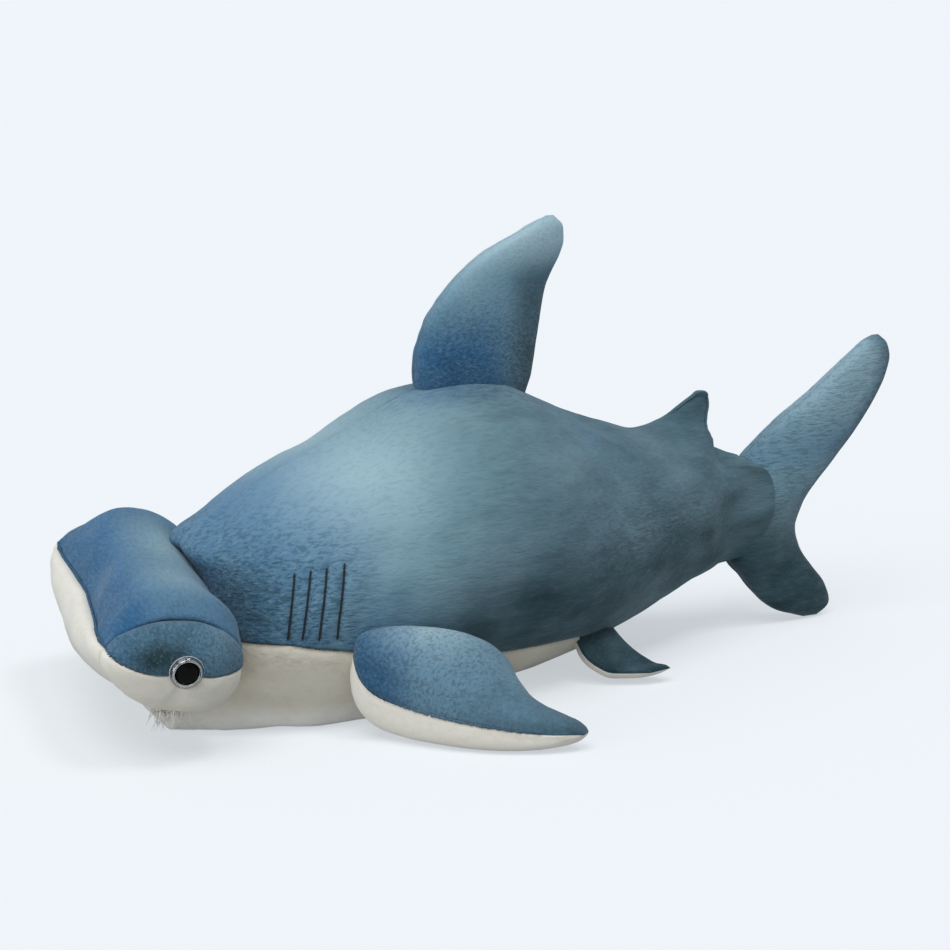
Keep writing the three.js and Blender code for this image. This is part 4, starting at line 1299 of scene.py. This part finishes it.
gills = {}
for number, line in enumerate(GILLS):
    fine_line = spline(line, 70)
    path = np.array([on_side(y, z, 0.3) for y, z in fine_line])
    for _ in range(3):
        path[1:-1] = (path[:-2] + 2 * path[1:-1] + path[2:]) / 4
    for side_name, flip in (("left", 1), ("right", -1)):
        points, faces = tube(path * (flip, 1, 1), 0.78, 16)
        gills[number, side_name] = mesh_object(f"gill_thread_{side_name}_{number + 1}", points, faces, thread)

# ---------------------------------------------------------------- loose pile under the chin

random = np.random.RandomState(7)
strands, strand_faces = [], []
for _ in range(90):
    x = random.uniform(90, 109)
    y = random.uniform(-11, 11)
    root = np.array([x, y, -48.0 + 7 * ((x - 88) / 24) ** 2])
    length = random.uniform(5, 15)
    lean = np.array([random.uniform(-0.35, 0.35), random.uniform(-0.5, 0.35), -1.0])
    path = np.array(
        [root + lean * length * t + (0, random.uniform(-1, 1) * t * t, 0) for t in (0, 0.3, 0.6, 0.85, 1)]
    )
    points, faces = tube(path, random.uniform(0.22, 0.5), 0, 5, tips=False)
    fade = np.repeat([1.0, 0.85, 0.6, 0.35, 0.05], 5)[:, None]
    points = np.repeat(path, 5, axis=0) + (points - np.repeat(path, 5, axis=0)) * fade
    base = sum(len(s) for s in strands)
    strands.append(points)
    strand_faces += [[base + k for k in f] for f in faces]
tuft_points = np.vstack(strands)
tuft_tint = np.tile((0.1, 0.25, 0.6), (len(tuft_points), 1))
tuft = mesh_object("chin_tuft", head_place(tuft_points), strand_faces, cream, tuft_tint)

# ---------------------------------------------------------------- pile that hangs over the seams


def fringe(name, line, outward, across, length, count, seed, look, tint, lift):
    """Short tapering locks of pile along a seam, lying over it in the direction `across`."""
    chance = np.random.RandomState(seed)
    at = np.sort(chance.uniform(0, len(line) - 1.001, count))
    low = at.astype(int)
    part = (at - low)[:, None]

    def between(values):
        return values[low] * (1 - part) + values[low + 1] * part

    def unit(values):
        return values / np.maximum(np.linalg.norm(values, axis=1, keepdims=True), 1e-9)

    root, out, over = between(line), unit(between(outward)), unit(between(across))
    along = unit(np.cross(out, over))
    clump = noise(np.stack([at, 0 * at, 0 * at], axis=1), 5.0, seed)[:, None]
    long = length * (0.55 + 0.45 * clump + 0.25 * chance.uniform(-1, 1, (count, 1)))
    ends = np.clip(np.minimum(at, len(line) - 1 - at) / 8, 0.15, 1)[:, None]
    long = np.maximum(long, 0.25 * length) * ends
    wide = chance.uniform(0.45, 0.85, (count, 1)) * ends
    lean = chance.uniform(-0.5, 0.5, (count, 1))
    root = root - over * 1.4 + out * (lift - 0.25)
    corners = [root - along * wide, root + along * wide, root + out * 0.9]
    tips = root + over * (1.4 + long) + along * lean * long + out * chance.uniform(0.5, 1.5, (count, 1))
    points = np.stack([*corners, tips], axis=1).reshape(-1, 3)
    base = 4 * np.arange(count)[:, None]
    faces = np.vstack([base + f for f in ((0, 2, 1), (0, 1, 3), (1, 2, 3), (2, 0, 3))])
    colour = np.repeat(between(tint), 4, axis=0)
    return mesh_object(name, points, faces, look, colour)


SEAMS = []
for name, (line, outward, across, tint), length, count, look, flips in EDGES:
    for side_name, flip in (("left", 1), ("right", -1))[:flips]:
        turned = np.array((flip, 1, 1))
        SEAMS.append(
            fringe(
                f"{name}_pile_{side_name}", line * turned, outward * turned, across * turned,
                length, count, 300 + len(SEAMS), look, tint, 1.0 if name == "front_seam" else 0.0,
            )
        )

# ---------------------------------------------------------------- fibre fillings


def filling_piece(name, rings, depth, seed):
    """Lumpy fibre filling inside closed rings of a cover, `depth` below it."""
    inside = []
    for ring in rings:
        middle = ring.mean(0)
        away = ring - middle
        size = np.linalg.norm(away, axis=1, keepdims=True)
        inside.append(middle + away * np.maximum(0.15, 1 - depth / np.maximum(size, 1e-6)))
    inside = np.array(inside)
    inside += 0.9 * noise(inside, 16, seed)[..., None] * (1, 0.3, 1)
    inside[..., 2] = np.maximum(inside[..., 2], depth)
    count, around = inside.shape[:2]
    points = np.vstack([inside.reshape(-1, 3), inside[0].mean(0), inside[-1].mean(0)])
    faces = ring_faces(count, around).tolist()
    for j in range(around):
        k = (j + 1) % around
        faces.append([k, j, count * around])
        faces.append([(count - 1) * around + j, (count - 1) * around + k, count * around + 1])
    return mesh_object(name, points, faces, filling)


# ---------------------------------------------------------------- pieces to bodies


def bent(piece):
    """Bakes the piece's placement into its mesh."""
    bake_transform(piece)


def put(piece, body, slot_name, *nodes, fill=None, bend=None):
    """Hides the CAD nodes that the piece stands for, then bakes its placement if it has bend points, or else
    parents it to its body's empty.
    """
    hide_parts(*nodes)
    if bend:
        bent(piece)
    else:
        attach(piece, body)


# Where each moving part's fabric would start to follow it, and where it would follow it fully; the pieces
# given these points only have their placement baked.
NECK = ((0, -186, 60), (0, -226, 60))
BENDS = {
    "dorsal_fin": ((0, -2, 210), (0, -2, 240)),
    "tail_fin": ((0, 222, 97), (0, 252, 97)),
    "pectoral_fin_left": ((100, -75, 50), (128, -75, 40)),
    "pectoral_fin_right": ((-100, -75, 50), (-128, -75, 40)),
}
put(body_left, "head", "plush_blue", "body_panel_left", fill=0.9, bend=NECK)
put(body_right, "head", "plush_blue", "body_panel_right", fill=0.9, bend=NECK)
put(body_belly, "head", "plush_cream", "belly_panel", fill=0.9, bend=NECK)
put(head_top, "head", "plush_blue", "head_top_panel", fill=0.9)
put(head_under, "head", "plush_cream", "head_under_panel", fill=0.9)
for (which, side_name), piece in cap_pieces.items():
    slot_name = "plush_blue" if which == "upper" else "plush_cream"
    put(piece, "head", slot_name, f"head_end_{which}_{side_name}", fill=0.9)
for (part, side_name), piece in eyes.items():
    slot_name = {"dome": "eye_clear", "pupil": "eye_black", "washer": "washer"}[part]
    put(piece, "head", slot_name, f"eye_{part}_{side_name}")
for (number, side_name), piece in gills.items():
    put(piece, "body", "thread", f"gill_stitch_{side_name}_{number + 1}")
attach(tuft, "head")
for piece in SEAMS:
    if piece.name.startswith("belly"):
        bent(piece)
    elif piece.name.startswith("pectoral"):
        fin = piece.name.replace("seam_pile", "fin")
        bent(piece)
    else:
        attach(piece, "head")

for side_name, flip in (("left", 1), ("right", -1)):
    for fin in ("dorsal", "tail"):
        put(
            skins[fin, side_name], f"{fin}_fin", "plush_blue", f"{fin}_fin_panel_{side_name}",
            fill=0.9, bend=BENDS[f"{fin}_fin"],
        )
    for which, slot_name in (("top", "plush_blue"), ("under", "plush_cream")):
        put(
            skins[f"pectoral_{which}", side_name], f"pectoral_fin_{side_name}", slot_name,
            f"pectoral_fin_{which}_{side_name}", fill=0.9, bend=BENDS[f"pectoral_fin_{side_name}"],
        )
        put(
            skins[f"pelvic_{which}", side_name], f"pelvic_fin_{side_name}", slot_name,
            f"pelvic_fin_{which}_{side_name}", fill=0.3, bend=((57 * flip, 70, 27), (70 * flip, 70, 17)),
        )

angles = np.linspace(0, TAU, 90, endpoint=False)
body_rings = [body_point(np.full(90, y), angles, 3.0) for y in np.arange(-212, 206, 6.0)]
head_rings = [head_place(np.vstack([t, u[1:-1]])[::2]) for t, u in zip(top_fine[3:-3:2], under_fine[3:-3:2])]
pectoral_rings = fin_rings("pectoral", -10)
for name, node, body, rings, seed in (
    ("body_filling", "body_stuffing", "body", body_rings, 201),
    ("head_filling", "head_stuffing", "head", head_rings, 202),
    ("dorsal_filling", "dorsal_fin_stuffing", "dorsal_fin", fin_rings("dorsal", -8), 203),
    ("tail_filling", "tail_fin_stuffing", "tail_fin", fin_rings("tail", -8), 204),
    ("pectoral_filling_left", "pectoral_fin_stuffing_left", "pectoral_fin_left", pectoral_rings, 205),
    (
        "pectoral_filling_right", "pectoral_fin_stuffing_right", "pectoral_fin_right",
        [mirror(r) for r in pectoral_rings], 206,
    ),
):
    depth = {"body": 6.5, "head": 9.0}.get(body, 4.5)
    put(filling_piece(name, rings, depth, seed), body, "filling", node, fill=0.8, bend=BENDS.get(body))

# ---------------------------------------------------------------- stage and light

bpy.ops.mesh.primitive_plane_add(size=60, location=(0, 0, 0))
floor = bpy.context.object
floor.name = "floor"
floor_look, tree, shader = material("pale_floor")
shader.inputs["Base Color"].default_value = (0.36, 0.37, 0.38, 1)
shader.inputs["Roughness"].default_value = 1.0
shader.inputs["Specular IOR Level"].default_value = 0.0
shader.inputs["Emission Color"].default_value = (0.50, 0.53, 0.555, 1)
# The floor glows, less towards the toy (0.32) than towards whatever looks at it (0.97).
path = tree.nodes.new("ShaderNodeLightPath")
glow = ramp(tree, path.outputs["Is Camera Ray"], 0.0, 1.0, 0.32, 0.97)
tree.links.new(glow, shader.inputs["Emission Strength"])
floor.data.materials.append(floor_look)

world = bpy.data.worlds.new("studio")
world.use_nodes = True
world.node_tree.nodes["Background"].inputs[0].default_value = (0.88, 0.93, 0.97, 1)
world.node_tree.nodes["Background"].inputs[1].default_value = 0.42
bpy.context.scene.world = world


def sun(name, direction, strength, angle):
    lamp = bpy.data.objects.new(name, bpy.data.lights.new(name, "SUN"))
    lamp.data.energy = strength
    lamp.data.angle = math.radians(angle)
    lamp.rotation_euler = Vector(direction).to_track_quat("-Z", "Y").to_euler()
    bpy.context.scene.collection.objects.link(lamp)


sun("key", (-0.32, 0.36, -1.0), 1.45, 40)
sun("front", (-0.25, 1.0, -0.30), 0.42, 40)
sun("low", (-1.0, 0.55, 0.12), 0.22, 60)
sun("glint_high", (-0.278, -0.258, -0.925), 0.72, 17)
sun("glint_front", (-0.095, 0.991, -0.07), 0.50, 17)
bpy.context.scene.view_settings.view_transform = "Standard"
